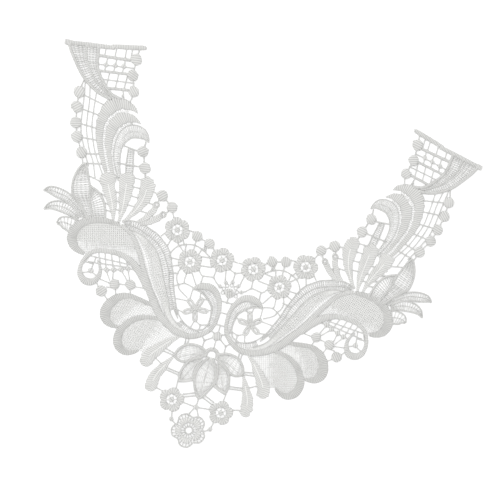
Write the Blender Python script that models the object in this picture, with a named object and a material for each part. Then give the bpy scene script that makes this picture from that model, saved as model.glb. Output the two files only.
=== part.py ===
"""A flat lace collar, such as is sewn round the neck of a dress.

It is guipure lace: cords, plumes, leaves and flowers in close stitching, which short
bars of thread hold together over open ground. The two halves are mirror images. Each
motif is one flat-bottomed solid, whose top rises along its cords and at its middles.

Every motif is drawn in the collar's own frame, in millimetres: out is the distance
from the middle line and up the height above the bottom flower's centre. lay() then
gives the slight sway with which the collar was put down.
"""

import math

import bpy
from mathutils.geometry import delaunay_2d_cdt

# The cloth, in millimetres
WALL = 1.2
GAP = 0.32
BAR_HALF = 0.6
THREAD_HALF = 0.5
RIB_HALF = 0.7
CORD_RISE = 1.1
RIB_RISE = 0.6
SATIN_RISE = 0.6
BALL_RISE = 1.3
FLOWER_RISE = 0.7

# Where a ball and a flower are highest and where a flower's well begins, as shares of their radius
BALL_TOP = 0.5
FLOWER_RING = 0.66
FLOWER_WELL = 0.3

# How finely curves are followed, in millimetres and steps
SLACK = 0.3
SPLINE_STEPS = 4
MERGE = 0.03
BALL_SIDES = 8
DOT_SIDES = 4
OVAL_SIDES = 8
HOLE_SIDES = 6
LOBE_STEPS = 4
BAR_OVERLAP = 1.0
BLUNT = 0.8
MM_PER_METRE = 1000

# The collar as it was put down: a sideways sway and a slight tilt of the rows
SWAY_HEIGHT = 280.0
SWAY_RUN = 5.8
SWAY_RETURN = 9.3
SPREAD = 1.5
SPREAD_WIDTH = 100.0
TILT = 0.019
TILT_RETURN = 0.033
MIDDLE_ACROSS = -7.7
MIDDLE_ALONG = 136.0

# Where a half bar aims so that, run on and pointed, it stops short of its mirror image
AXIS_END = GAP / 2 + BAR_OVERLAP + BAR_HALF / 2

COLOUR = (0.80, 0.80, 0.77, 1.0)
ROUGHNESS = 0.75
SIDES = {"left": -1, "right": 1}


def lay(x, y):
    """Where a point of the symmetrical pattern lies: the rows slide sideways along a
    parabola in height, draw in with the square of the width, and tilt a little."""
    height = y / SWAY_HEIGHT
    width = x / SPREAD_WIDTH
    across = x + SWAY_RUN * height - SWAY_RETURN * height**2 - SPREAD * width**2
    along = y + x * (TILT - TILT_RETURN * height)
    return across - MIDDLE_ACROSS, along - MIDDLE_ALONG


# Curves

def spline(rows):
    """A Catmull-Rom curve through rows of equal length, each (out, up, ...)."""
    rows = [tuple(map(float, row)) for row in rows]
    if len(rows) < 3:
        return rows
    before, after = rows[:1] + rows[:-1], rows[1:] + rows[-1:]
    found = []
    for i in range(len(rows) - 1):
        p0, p1, p2, p3 = before[i], rows[i], rows[i + 1], after[i + 1]
        for step in range(SPLINE_STEPS):
            t = step / SPLINE_STEPS
            found.append(tuple(
                b + 0.5 * t * (c - a + t * (2 * a - 5 * b + 4 * c - d + t * (3 * (b - c) + d - a)))
                for a, b, c, d in zip(p0, p1, p2, p3)
            ))
    return found + rows[-1:]


def stray(p, a, b):
    """How far p lies from the straight run from a to b, counting every column, and at
    which share of the run it comes nearest."""
    run = [y - x for x, y in zip(a, b)]
    length = sum(c * c for c in run)
    share = sum((z - x) * c for x, z, c in zip(a, p, run)) / length if length else 0.0
    share = min(max(share, 0.0), 1.0)
    return math.dist(p, [x + share * c for x, c in zip(a, run)]), share


def thinned(path, slack=SLACK):
    """The path with every point left out that lies within the slack of its neighbours' chord."""
    if len(path) < 3:
        return path
    far, where = max((stray(p, path[0], path[-1])[0], i) for i, p in enumerate(path[1:-1], 1))
    if far <= slack:
        return [path[0], path[-1]]
    return thinned(path[:where + 1], slack)[:-1] + thinned(path[where:], slack)


def headings(path):
    """A unit vector along the path at each of its points."""
    found = []
    for i in range(len(path)):
        a, b = path[max(i - 1, 0)], path[min(i + 1, len(path) - 1)]
        length = math.dist(a[:2], b[:2])
        found.append(((b[0] - a[0]) / length, (b[1] - a[1]) / length))
    return found


def turned_left(polygon):
    """The polygon in anticlockwise order."""
    area = sum(a[0] * b[1] - b[0] * a[1] for a, b in zip(polygon, polygon[1:] + polygon[:1]))
    return polygon if area > 0 else polygon[::-1]


class Shape:
    """A motif seen from above: outline(grow) gives its rim, let out by grow, crests are the
    lines along its top, and rise(point) is its height above the plain wall."""

    def __init__(self, outline, crests=(), rise=None, is_hole=False):
        self.outline = outline
        self.crests = list(crests)
        self.rise = rise or (lambda point: 0.0)
        self.is_hole = is_hole

    def mirrored(self):
        def flip(points):
            return [(-x, y) for x, y in points]

        return Shape(
            lambda grow=0.0: turned_left(flip(self.outline(grow))),
            [flip(crest) for crest in self.crests],
            lambda point: self.rise((-point[0], point[1])),
            self.is_hole,
        )


def strip(rows, rise=CORD_RISE):
    """A cord, leaf or plume: (out, up, half) cross-sections along a smooth line, round at
    a blunt end, with its crest along the middle."""
    path = thinned(spline(rows))
    ways = headings(path)

    def cap(end, way, grow):
        (x, y, half), (dx, dy) = path[end], way
        if half < BLUNT:
            return [(x + dx * (grow + half / 2), y + dy * (grow + half / 2))]
        reach = (half + grow) * math.sqrt(0.5)
        return [(x + reach * (dx - dy * s), y + reach * (dy + dx * s)) for s in (1, -1)]

    def edge(grow, hand):
        return [
            (x - dy * (half + grow) * hand, y + dx * (half + grow) * hand)
            for (x, y, half), (dx, dy) in zip(path, ways)
        ]

    def outline(grow=0.0):
        front = cap(-1, ways[-1], grow)
        back = cap(0, (-ways[0][0], -ways[0][1]), grow)
        return turned_left(edge(grow, 1) + front + edge(grow, -1)[::-1] + back)

    def rise_at(point):
        best = 0.0
        for a, b in zip(path, path[1:]):
            far, share = stray(point, a[:2], b[:2])
            half = a[2] + share * (b[2] - a[2])
            if half > 0:
                best = max(best, 1 - far / half)
        return rise * best

    crest = [p[:2] for p in path]
    return Shape(outline, [crest] if rise else [], rise_at if rise else None)


def cord(points, half=BAR_HALF, rise=0.0):
    """A strip of one width through (out, up) points."""
    return strip([(x, y, half) for x, y in points], rise)


def bars(rows, half=BAR_HALF):
    """Straight bars, one for each (out, up, to_out, to_up), each run a little into what it joins."""
    made = []
    for x0, y0, x1, y1 in rows:
        length = math.hypot(x1 - x0, y1 - y0)
        dx, dy = (x1 - x0) / length * BAR_OVERLAP, (y1 - y0) / length * BAR_OVERLAP
        made.append(cord([(x0 - dx, y0 - dy), (x1 + dx, y1 + dy)], half))
    return made


def ring_points(centre, radius, count, start=0.0):
    """Points evenly round a circle."""
    angles = [start + 2 * math.pi * i / count for i in range(count)]
    return [(centre[0] + radius * math.cos(a), centre[1] + radius * math.sin(a)) for a in angles]


def ball(out, up, radius, rise=BALL_RISE, sides=BALL_SIDES):
    """A stuffed dot: a round outline and a smaller raised ring."""
    crest = ring_points((out, up), radius * BALL_TOP, sides // 2)

    def outline(grow=0.0):
        return ring_points((out, up), radius + grow, sides)

    def rise_at(point):
        far = math.dist(point, (out, up)) / radius
        return rise * min(1.0, max(0.0, (1 - far) / (1 - BALL_TOP)))

    return Shape(outline, [crest + crest[:1]] if rise else [], rise_at)


def dots(rows):
    """Small plain dots, one for each (out, up, radius)."""
    return [ball(out, up, radius, rise=0.0, sides=DOT_SIDES) for out, up, radius in rows]


def panel(points):
    """A plain area inside an outline of (out, up) points."""
    points = turned_left([tuple(map(float, p)) for p in points])

    def outline(grow=0.0):
        if not grow:
            return points
        ring = points[-1:] + points + points[:1]
        ways = headings(ring)[1:-1]
        return [(x + dy * grow, y - dx * grow) for (x, y), (dx, dy) in zip(points, ways)]

    return Shape(outline)


def flower(out, up, radius, lobes, notch, start=0.0):
    """A round flower: the outline swings between radius and radius less notch once for
    each lobe, with a raised ring of stitching and a button in the middle."""
    def outline(grow=0.0):
        made = []
        for i in range(lobes * LOBE_STEPS):
            angle = start + 2 * math.pi * i / (lobes * LOBE_STEPS)
            dip = notch * (0.5 - 0.5 * math.cos(2 * math.pi * i / LOBE_STEPS)) ** 2
            reach = radius - dip + grow
            made.append((out + reach * math.cos(angle), up + reach * math.sin(angle)))
        return made

    ring = ring_points((out, up), radius * FLOWER_RING, lobes * 2, start)
    well = ring_points((out, up), radius * FLOWER_WELL, lobes, start)

    def rise_at(point):
        far = math.dist(point, (out, up)) / radius
        return FLOWER_RISE * max(0.0, 1 - abs(far - FLOWER_RING) / (1 - FLOWER_RING))

    crests = [loop + loop[:1] for loop in (ring, well)]
    return Shape(outline, crests, rise_at)


def ellipse(centre, toward, long_half, wide_half, is_hole=False):
    """An oval whose long axis points from the centre along an angle."""
    sides = HOLE_SIDES if is_hole else OVAL_SIDES

    def outline(grow=0.0):
        found = []
        for i in range(sides):
            a = 2 * math.pi * i / sides
            p, q = (long_half + grow) * math.cos(a), (wide_half + grow) * math.sin(a)
            found.append((
                centre[0] + p * math.cos(toward) - q * math.sin(toward),
                centre[1] + p * math.sin(toward) + q * math.cos(toward),
            ))
        return found

    return Shape(outline, is_hole=is_hole)


# The end of each arm. Columns of a strip: out, up, half

END_BAR = [(173.8, 269.2, 1.7), (150.0, 273.9, 1.8), (137.0, 276.3, 1.7), (112.0, 282.2, 1.7)]
HORN_EDGE = [
    (171.0, 269.5), (164.0, 259.0), (153.0, 246.5), (146.0, 241.8), (138.0, 238.3), (129.0, 236.8),
]
HORN_MIDDLE = [(157.5, 272.3), (155.0, 262.0), (146.5, 249.5), (134.5, 241.0), (129.0, 238.5)]
HORN_INSIDE = [(148.3, 274.2), (146.5, 262.0), (141.0, 251.0), (134.0, 243.5), (122.0, 239.0)]
HORN_EDGE_HALF = 1.2
END_BAR_HALF = 1.0
# Columns: out, up, to_out, to_up
END_BARS = [(147, 267, 122, 270.5), (144, 255.5, 121, 259.5), (134, 244, 118, 247.5)]
END_THREADS = [
    (142.5, 276, 142.2, 268), (134.5, 277.5, 134.2, 269), (127, 279.5, 126.5, 270),
    (139.5, 268, 139.5, 256.5), (132.5, 269, 132.5, 257.5), (125.8, 270, 125.8, 258.5),
    (144, 260.5, 118, 265.3), (139, 250, 115.6, 253.8), (131.5, 256.5, 131.5, 245.5),
    (123.5, 258, 123.5, 247),
]
END_DOTS = [(139.5, 261.5, 1.8), (132.5, 263.0, 1.8), (125.8, 264.5, 1.8)]
# Columns of balls: out, up, radius
END_BALLS = [(117.5, 272.5, 4.6), (117.3, 259.5, 4.3), (113.7, 247.5, 4.2)]
END_LINKS = [
    (117, 281, 117.3, 276.5), (117.5, 268.5, 117.4, 263), (116, 255.8, 114.7, 251),
    (113.6, 243.5, 114.6, 238.8),
]


def end_panel():
    horn = panel(HORN_EDGE + HORN_INSIDE[::-1])
    return [
        strip(END_BAR),
        horn,
        cord(HORN_EDGE, HORN_EDGE_HALF, CORD_RISE),
        cord(HORN_MIDDLE, RIB_HALF, RIB_RISE),
        cord(HORN_INSIDE, HORN_EDGE_HALF, CORD_RISE),
        *bars(END_BARS, END_BAR_HALF),
        *bars(END_THREADS, THREAD_HALF),
        *dots(END_DOTS),
        *[ball(*row) for row in END_BALLS],
        *bars(END_LINKS),
    ]


# The outer edge of each arm: balls on a thread, and a ladder behind them

OUTER_BALLS = [
    (154.3, 235.2, 4.5), (153.5, 223.3, 4.5), (151.0, 211.3, 4.4), (147.5, 200.8, 4.4),
    (141.0, 189.8, 4.4),
]
OUTER_ENDS = [(154.5, 243, 154.4, 239), (139.5, 186, 138, 182)]
LADDER_OUTER = [(151, 240), (148.5, 222), (144.5, 203), (137, 188), (133, 181)]
LADDER_MIDDLE = [(146, 238), (144, 221), (139.5, 202), (131, 186), (126, 174)]
LADDER_INNER = [(141, 236), (139.8, 221), (135.5, 203), (128.3, 188.5), (120.5, 177)]
LADDER_RUNGS = [
    (150, 233.8, 135, 231), (149, 223, 135.5, 222), (147, 211.5, 134, 211.5),
    (143, 201.5, 132, 202.5), (137, 190, 129, 192.5), (136.5, 182.5, 124, 185.5),
]


def chain(balls):
    """Balls with a link of thread from each to the next."""
    links = [(a[0], a[1], b[0], b[1]) for a, b in zip(balls, balls[1:])]
    return [ball(*row) for row in balls] + bars(links)


def outer_balls():
    return chain(OUTER_BALLS) + bars(OUTER_ENDS)


def ladder():
    rails = [cord(points) for points in (LADDER_OUTER, LADDER_MIDDLE, LADDER_INNER)]
    return rails + bars(LADDER_RUNGS)


# The plumes of each arm. Columns: out, up, half

PLUME_OUTER = [
    (106.5, 232.0, 0.3), (111.0, 235.0, 1.8), (117.0, 236.3, 3.3), (123.0, 235.0, 4.0), (128.5, 230.5, 3.6),
    (131.7, 221.0, 3.4), (132.0, 213.0, 2.8), (130.5, 205.0, 2.3), (127.0, 196.0, 1.8), (118.5, 180.5, 1.0),
]
PLUME_MIDDLE = [
    (100.5, 224.5, 0.3), (105.5, 227.0, 2.0), (111.5, 227.2, 3.2), (117.5, 224.0, 4.0), (121.5, 218.0, 4.2),
    (123.0, 210.5, 3.0), (122.0, 201.0, 2.4), (119.8, 193.0, 1.7), (113.0, 179.5, 1.0),
]
PLUME_INNER = [
    (89.8, 210.7, 0.5), (93.5, 214.8, 3.0), (98.0, 217.0, 5.0), (104.0, 216.8, 5.8), (109.5, 213.0, 6.0),
    (113.0, 207.0, 5.5), (114.5, 200.0, 4.9), (114.0, 193.0, 4.2), (108.8, 179.5, 1.8),
]
PLUME_STRIP = [(104.7, 206.5, 1.9), (103.8, 198.0, 2.5), (102.4, 190.0, 2.9), (100.5, 180.0, 2.4)]
PLUME_BALLS = [(95.2, 204.3, 4.3), (90.5, 192.2, 4.5)]
PLUME_BARS = [
    (99, 203.5, 111, 204.5), (95, 192, 111, 190), (95, 211.5, 95, 208),
    (93.5, 200.5, 92.3, 196.5), (89.5, 188.3, 88.6, 185.5),
]


def inner_plume():
    plumes = [strip(PLUME_INNER, SATIN_RISE), strip(PLUME_STRIP, 0.0)]
    return plumes + chain(PLUME_BALLS) + bars(PLUME_BARS)


# The leaves at the shoulder bend

LEAF_OUTER_SIDE = [
    (133, 178), (136.5, 182), (139.8, 177), (141.5, 170), (141.3, 163), (139.3, 157), (134, 152.5),
    (126, 143.5), (119.5, 143.5),
]
LEAF_MIDDLE = [(119.5, 143.5), (122.5, 149), (126.5, 160), (130.3, 171.5), (133, 178)]
LEAF_INNER_SIDE = [
    (127.5, 166.5), (122, 164.5), (117.5, 161), (114, 156.5), (111.8, 151), (110, 145.5),
    (119.5, 143.5),
]
EDGE_LEAVES = [
    [(161.5, 153.0, 0.4), (157.0, 154.8, 3.2), (150.0, 154.3, 4.3), (143.0, 153.0, 3.9), (136.5, 149.6, 3.2),
     (126.0, 141.5, 1.3)],
    [(157.5, 138.8, 0.4), (153.5, 142.8, 3.0), (148.0, 144.5, 4.3), (141.0, 144.3, 4.6), (135.0, 142.5, 3.6),
     (129.5, 139.3, 1.8)],
    [(145.0, 131.0, 1.0), (142.0, 133.0, 4.2), (138.0, 133.2, 5.6), (130.5, 131.0, 5.0)],
]
EDGE_LEAF_ROOT = [(125.5, 143.0), (131.5, 138.8), (136.0, 131.5)]
EDGE_LEAF_ROOT_HALF = 1.3


def double_leaf():
    return [
        panel(LEAF_OUTER_SIDE + LEAF_MIDDLE[1:-1]),
        panel(LEAF_INNER_SIDE + LEAF_MIDDLE[1:3]),
        cord(LEAF_OUTER_SIDE[:-1], RIB_HALF, RIB_RISE),
        cord(LEAF_MIDDLE, RIB_HALF, RIB_RISE),
        cord(LEAF_INNER_SIDE[:-1], RIB_HALF, RIB_RISE),
    ]


def edge_leaves():
    leaves = [strip(rows, SATIN_RISE) for rows in EDGE_LEAVES]
    return leaves + [cord(EDGE_LEAF_ROOT, EDGE_LEAF_ROOT_HALF)]


# The fan of fingers. Columns: out, up, half

FINGER_A = [
    (116.5, 180.0, 0.5), (116.0, 176.0, 6.0), (115.0, 172.0, 5.9), (111.5, 165.0, 5.0), (108.0, 158.0, 3.7),
    (103.8, 145.5, 1.0),
]
FINGER_B = [
    (102.5, 184.5, 1.0), (101.8, 181.0, 5.0), (101.2, 176.0, 5.8), (99.6, 162.0, 4.6), (99.2, 149.0, 1.6),
    (99.5, 145.0, 1.0),
]
FINGER_C = [
    (86.5, 186.3, 1.0), (86.0, 182.5, 4.3), (85.0, 177.0, 5.7), (85.2, 170.0, 5.5), (89.5, 157.0, 2.9),
    (96.5, 146.0, 1.0),
]
FINGER_D = [
    (74.5, 170.5, 1.2), (74.8, 166.5, 2.9), (75.3, 162.0, 2.9), (77.0, 157.0, 2.7), (84.5, 149.8, 1.2),
]
FINGER_E = [
    (66.5, 163.0, 1.2), (67.8, 159.5, 3.0), (70.0, 155.5, 3.0), (73.5, 152.3, 2.3), (82.0, 148.3, 1.0),
]
BARS_LEAF_A = [
    (131, 174, 121, 172), (119, 163.5, 114, 162), (115, 157.5, 111, 156.5), (112, 152, 108, 151.5),
]
BARS_A_B = [(109, 167.8, 105, 167.8), (107, 160.8, 103.5, 160.8), (104.5, 154.3, 101.5, 154.3)]
BARS_B_C = [
    (97, 182.5, 90, 182.5), (95.5, 175.5, 90.5, 175.5), (95.5, 168, 90.5, 168),
    (95.5, 160.5, 90.8, 160.5),
]
BARS_C_D = [(79.5, 166, 77.5, 166), (84, 158.5, 80, 158.5), (80, 176, 75.5, 175.5)]
BARS_D_E = [(75.2, 157, 73, 156), (73.3, 172.2, 73.8, 169.5), (64, 165, 65.5, 162)]
SHOULDER_BALLS = [(71.8, 175.0, 4.5), (62.0, 168.5, 4.3)]


def small_fingers():
    fingers = [strip(FINGER_D, SATIN_RISE), strip(FINGER_E, SATIN_RISE)]
    return fingers + chain(SHOULDER_BALLS) + bars(BARS_C_D + BARS_D_E)


# The long stem and its scroll. Columns of the cord: out, up, half

STEM_CORD = [
    (97.0, 143.5, 1.6), (86.5, 138.0, 1.7), (79.3, 129.0, 1.8), (72.5, 118.0, 1.9), (65.0, 105.0, 2.5),
    (58.0, 95.0, 3.0), (49.0, 84.0, 3.0), (42.5, 78.8, 2.6), (35.0, 75.0, 2.4), (27.0, 73.2, 2.3),
    (19.0, 74.0, 2.2), (12.5, 77.5, 2.0), (7.5, 82.0, 1.8),
]
SCROLL_CORD = [
    (7.5, 82.0, 1.8), (4.6, 87.5, 1.6), (3.8, 94.0, 1.6), (4.2, 101.0, 1.7), (6.2, 107.0, 1.9),
    (9.8, 112.0, 2.4), (14.0, 114.8, 2.8), (19.0, 115.4, 2.9), (24.5, 113.8, 2.3), (29.3, 110.6, 0.4),
]
STEM_RIB = [
    (86.0, 141.8), (78.0, 140.0), (71.0, 136.5), (65.0, 131.5), (57.0, 119.0), (49.9, 110.0), (45.0, 100.0),
    (40.0, 87.0), (33.0, 79.5),
]
STEM_INSIDE = [
    (97.0, 147.0), (88.0, 149.5), (74.0, 147.0), (62.0, 141.0), (53.0, 131.0), (47.0, 117.0), (42.5, 104.0),
    (37.0, 92.0), (33.0, 86.5), (28.0, 82.5), (22.0, 80.0), (13.0, 80.5),
]
SCROLL_INSIDE = [
    (13.0, 80.5), (10.5, 85.0), (9.5, 90.0), (10.0, 95.0), (11.5, 100.5), (14.0, 105.0), (17.5, 108.5),
    (21.5, 110.5), (29.3, 110.6),
]
# Half bars to the other scroll, which meet their mirror images on the middle line
SCROLL_JOINTS = [(6.5, 107.5, AXIS_END, 107.5), (4.5, 98.5, AXIS_END, 98.5), (5.0, 88.5, AXIS_END, 88.5)]


def stem():
    middle = [row[:2] for row in spline(STEM_CORD)]
    scroll = [row[:2] for row in spline(SCROLL_CORD)]
    inside = spline(STEM_INSIDE)
    curl = spline(SCROLL_INSIDE)
    body = thinned(middle[:-1] + scroll + curl[::-1] + inside[::-1][1:])
    return [
        panel(body),
        strip(STEM_CORD),
        strip(SCROLL_CORD),
        cord(STEM_RIB, RIB_HALF, RIB_RISE),
        cord(STEM_INSIDE, RIB_HALF, RIB_RISE),
        cord(SCROLL_INSIDE[:-1], RIB_HALF, RIB_RISE),
        *bars(SCROLL_JOINTS),
    ]


# The lobes below the stem. Columns: out, up, half

LOBE_TOP = [
    (98.0, 143.2, 1.6), (106.0, 143.6, 2.2), (114.0, 142.7, 2.6), (121.0, 140.3, 2.9), (126.8, 136.0, 3.3),
    (130.3, 130.0, 3.8), (131.0, 123.5, 3.9), (128.0, 118.0, 3.3), (123.0, 115.0, 2.3), (118.5, 114.0, 1.4),
]
LOBE_MIDDLE = [
    (57.0, 89.5, 1.5), (63.0, 90.3, 1.8), (69.5, 91.2, 1.9), (76.0, 91.3, 2.2), (82.0, 89.0, 2.9),
    (87.0, 84.0, 3.7), (89.8, 78.0, 4.1), (89.8, 72.0, 4.2), (86.5, 67.3, 3.2), (77.5, 65.2, 1.2),
]
LOBE_LOW = [
    (48.0, 80.0, 1.3), (54.0, 79.8, 1.6), (61.0, 77.8, 1.9), (67.5, 74.0, 2.3), (72.5, 68.0, 2.7),
    (75.3, 61.0, 3.2), (74.5, 54.0, 3.4), (70.5, 49.3, 3.2), (65.5, 47.8, 2.5), (57.0, 51.8, 1.1),
]
CURL_ARCH = [
    (64.0, 100.0, 2.0), (70.0, 108.0, 2.6), (76.0, 114.3, 3.0), (83.0, 118.8, 2.4), (91.0, 121.0, 2.0),
    (99.5, 121.0, 1.8), (108.0, 119.2, 1.6), (114.0, 115.5, 1.5), (117.6, 109.5, 1.5),
]
CURL_RING_CENTRE = (110.5, 102.0)
CURL_RING = [
    (117.6, 109.5, 1.5), (118.5, 102.5, 1.7), (116.8, 97.0, 2.3), (112.0, 93.6, 2.9), (106.5, 94.3, 2.7),
    (103.2, 99.0, 1.9), (102.8, 104.0, 1.4), (104.5, 108.5, 1.0), (107.0, 112.0, 0.6),
]
CURL_THREADS = [
    (115, 113.5, 79, 115), (108.5, 119, 104.5, 110.5), (103.5, 120.3, 99, 107),
    (98.5, 120.5, 93.5, 108.5), (92.5, 120.7, 88, 110), (86, 119, 83, 112.5), (102.5, 106, 76, 112),
    (98, 105, 94, 99.5), (93, 107, 92, 101.3), (86.5, 108.5, 80.5, 102.5), (82, 110.5, 79, 104),
    (101, 98, 93.5, 97), (85.5, 98.5, 81, 99), (73, 99.8, 65.5, 100.5), (102.5, 94, 101.5, 92.5),
    (94, 93.5, 91.5, 93.8), (94.5, 86.5, 92, 84.5), (87.5, 93.3, 86.5, 90.5), (76.5, 96.3, 75.5, 93.7),
    (109, 106, 108.8, 111.5), (110.5, 101, 110.5, 96), (104.5, 103, 117, 102.5),
]
CURL_DOTS = [
    (98.5, 106.5, 1.6), (93.0, 108.0, 1.6), (87.5, 109.8, 1.6), (82.5, 112.0, 1.6), (110.0, 102.5, 1.8),
]
CURL_BALLS = [(97.8, 89.3, 4.3), (89.2, 97.2, 4.0), (77.2, 100.2, 4.0)]
# Where the net of each lobe ends on the side away from its cord. Columns: out, up
LOBE_TOP_REST = [
    (114.0, 115.5), (99.5, 121.0), (83.0, 118.8), (72.0, 111.0), (72.5, 118.0), (79.3, 129.0), (86.5, 138.0),
]
LOBE_MIDDLE_REST = [(72.5, 68.0), (61.0, 77.8), (54.0, 79.8), (49.0, 84.0)]
LOBE_LOW_REST = [
    (50.0, 50.5), (44.0, 56.0), (36.0, 64.0), (29.0, 71.0), (35.0, 75.0), (42.5, 78.8),
]


def lobe(rows, rest):
    """A cord round one side of a net that ends at the rest of its outline."""
    fill = [row[:2] for row in spline(rows)] + rest
    return [panel(thinned(fill)), strip(rows)]


def curl():
    return [
        strip(CURL_ARCH),
        strip(CURL_RING),
        *bars(CURL_THREADS, THREAD_HALF),
        *dots(CURL_DOTS),
        *[ball(*row) for row in CURL_BALLS],
    ]


# The flowers of the neckline and the net round them

FLOWER_NECK = (53.5, 152.3, 10.2)
FLOWER_NET = (37.0, 130.5, 9.9)
FLOWER_MIDDLE = (13.0, 139.0, 10.0)
FLOWER_LOW = (20.4, 21.0, 10.0)
NOTCH = 2.2
LOW_LOBES, LOW_START = 5, math.radians(90)
NECK_BARS = [
    (43.5, 154.5, 41, 154.5), (66, 154.6, 63, 154.6), (60.5, 164.5, 59, 161.5), (50, 142.5, 47.5, 139.5),
]
NET_BALLS = [(37.0, 151.8, 4.2), (26.0, 148.7, 4.1)]
NET_ARC_CENTRE, NET_ARC_RADIUS = (38.5, 129.8), 14.2
NET_ARC_FROM, NET_ARC_TO, NET_ARC_STEPS = math.radians(15), math.radians(148), 7
NET_CURVES = [
    [(44.5, 118.8), (43.5, 114.0), (38.0, 106.5), (31.0, 101.5)],
    [(25.5, 123.3), (20.0, 123.4), (15.5, 122.9), (12.0, 120.5), (8.5, 117.8)],
]
NET_BARS = [
    (45, 141, 42, 137.5), (36.5, 144, 36.8, 139.5), (29.5, 142, 31.5, 138.5), (37, 148, 37, 143.5),
    (28, 145.5, 27.2, 141.5), (22.5, 146.8, 21, 144), (53.5, 129.7, 46, 128.7), (50, 122.3, 45, 126.5),
    (49, 118.5, 44.5, 118.8), (43, 122, 44.3, 119.3), (37.7, 121.5, 37, 113.3), (40.8, 110.5, 37, 113.3),
    (30.5, 111.3, 36.5, 113.3), (32, 122.5, 28, 115), (30, 124.5, 25.5, 123.2), (24, 118.2, 24.5, 122.5),
    (15.5, 123.5, 15.5, 129), (28, 130.8, 22.5, 131.5), (28.5, 136.5, 22.5, 138),
]
MIDDLE_BARS = [(7.5, 131, 6, 123), (3.5, 140.5, AXIS_END, 140.5)]
LOW_BARS = [(34.5, 27, 30, 26), (20, 36.5, 19.5, 30), (6, 31.8, 12, 28), (6, 29.5, 11, 25.8)]


def rosette(row, lobes=6, start=0.0):
    """One of the round flowers of the neckline, or one like them with other lobes."""
    return flower(*row, lobes, NOTCH, start)


def flower_net():
    span = NET_ARC_TO - NET_ARC_FROM
    angles = [NET_ARC_FROM + span * i / NET_ARC_STEPS for i in range(NET_ARC_STEPS + 1)]
    arc = [
        (NET_ARC_CENTRE[0] + NET_ARC_RADIUS * math.cos(a), NET_ARC_CENTRE[1] + NET_ARC_RADIUS * math.sin(a))
        for a in angles
    ]
    threads = [cord(arc)] + [cord(points) for points in NET_CURVES]
    return [rosette(FLOWER_NET)] + chain(NET_BALLS) + threads + bars(NET_BARS)


# The flower of loops inside each scroll

LOOP_CENTRE = (22.7, 95.5)
LOOP_TIPS = [(19.5, 106.0), (30.8, 102.0), (32.0, 90.0), (20.5, 85.5), (12.2, 96.5)]
LOOP_HALF_WIDTH = 2.7
LOOP_HOLE = (2.6, 1.2)
LOOP_EYE = 2.2
# Where a loop's middle lies on the way to its tip, and half its length, as shares of that way
LOOP_MIDDLE, LOOP_HALF_LENGTH = 0.55, 0.45
SCROLL_BARS = [
    (29.5, 100.5, 40, 99.5), (19, 105, 18.5, 108.5), (13, 97, 10.5, 98.0), (31, 90.5, 37, 91.5),
    (20.8, 87, 22.5, 80.5), (15.4, 84.4, 9.5, 86.5), (15.4, 84.4, 15.6, 80), (15.4, 84.4, 20, 86.5),
]


def loop_flower():
    shapes = dots([(*LOOP_CENTRE, LOOP_EYE)])
    for tip in LOOP_TIPS:
        angle = math.atan2(tip[1] - LOOP_CENTRE[1], tip[0] - LOOP_CENTRE[0])
        length = math.dist(tip, LOOP_CENTRE)
        middle = [a + (b - a) * LOOP_MIDDLE for a, b in zip(LOOP_CENTRE, tip)]
        shapes.append(ellipse(middle, angle, length * LOOP_HALF_LENGTH, LOOP_HALF_WIDTH))
        shapes.append(ellipse(middle, angle, *LOOP_HOLE, is_hole=True))
    return shapes + bars(SCROLL_BARS, THREAD_HALF)


# The lotus, its fingers and the bottom of the collar

PETAL_SIDE = [
    (4, 66), (10, 67.5), (16, 68.8), (22, 67.5), (27, 63.5), (29.5, 58.5), (29, 54.5), (25, 52.3), (20, 52),
    (15, 55), (5, 61),
]
PETAL_LOW = [
    (19, 52.5), (20.5, 46), (20.5, 41), (19.5, 36.5), (14, 37.5), (8.5, 39.5), (6, 46), (5, 58), (12, 57),
]
PETAL_MIDDLE_HALF = [(0, 61), (5, 60), (8.5, 53), (9, 46), (8, 40), (5, 35.5), (1.5, 30), (0, 26.5)]
PETAL_SIDE_RIB = [(5.5, 63), (14, 62.5), (26, 58)]
PETAL_LOW_RIB = [(10.5, 55), (15, 48), (17, 39)]
PETAL_MIDDLE_RIB = [(0, 59), (0, 46), (0, 30)]
FINGER_G = [
    (28.0, 71.5, 0.8), (33.0, 67.5, 2.0), (38.0, 62.0, 3.6), (43.0, 56.0, 4.7), (47.0, 50.0, 5.0),
    (48.5, 45.0, 4.6), (49.0, 41.5, 1.5),
]
FINGER_H = [
    (29.0, 54.5, 1.0), (31.8, 49.5, 2.3), (35.0, 43.0, 3.6), (37.8, 37.0, 4.7), (39.0, 31.0, 5.0),
    (39.3, 26.5, 4.0), (39.5, 23.3, 1.2),
]
BARS_G_H = [(41, 49, 37.5, 47)]
BARS_PETAL_SIDE = [
    (21.5, 72.5, 21.5, 68), (24.5, 72.5, 24, 67), (36, 59, 29.5, 57.5), (37, 56.5, 29.5, 55.5),
]
BARS_PETAL_LOW = [(31, 44.7, 20.5, 43.2), (30.5, 42.7, 20.5, 41.2)]
ARCH = [(4.9, 61.5, 1.3), (4.9, 65.5, 1.5), (3.2, 68.3, 1.6), (0.0, 69.2, 1.6)]
HEART_BALL = (0.0, 79.4, 3.7)
HEART_BARS = [(5, 82, 2, 81), (11.5, 76, 8.8, 73.5), (9, 68.5, 8.8, 73.5), (8.8, 73.5, 3, 77.5)]
HEART_AXIS = [(0, 88.2, 0, 82), (0, 77, 0, 70)]
DISC = (0.0, 116.0, 4.3)
DISC_TOP_DOT = (0.0, 123.8, 2.0)
DISC_DOTS = [(4.8, 122.0, 2.0), (8.4, 118.2, 2.0)]
DISC_BARS = [(2, 118.5, 4.8, 122), (3, 117, 8.4, 118.2), (4.3, 133.5, -4.3, 133.5)]
DISC_AXIS = [(0, 112.5, 0, 107.3), (0, 119, 0, 133)]
BOTTOM_FLOWER = (0.0, 0.8, 14.3)
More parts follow.
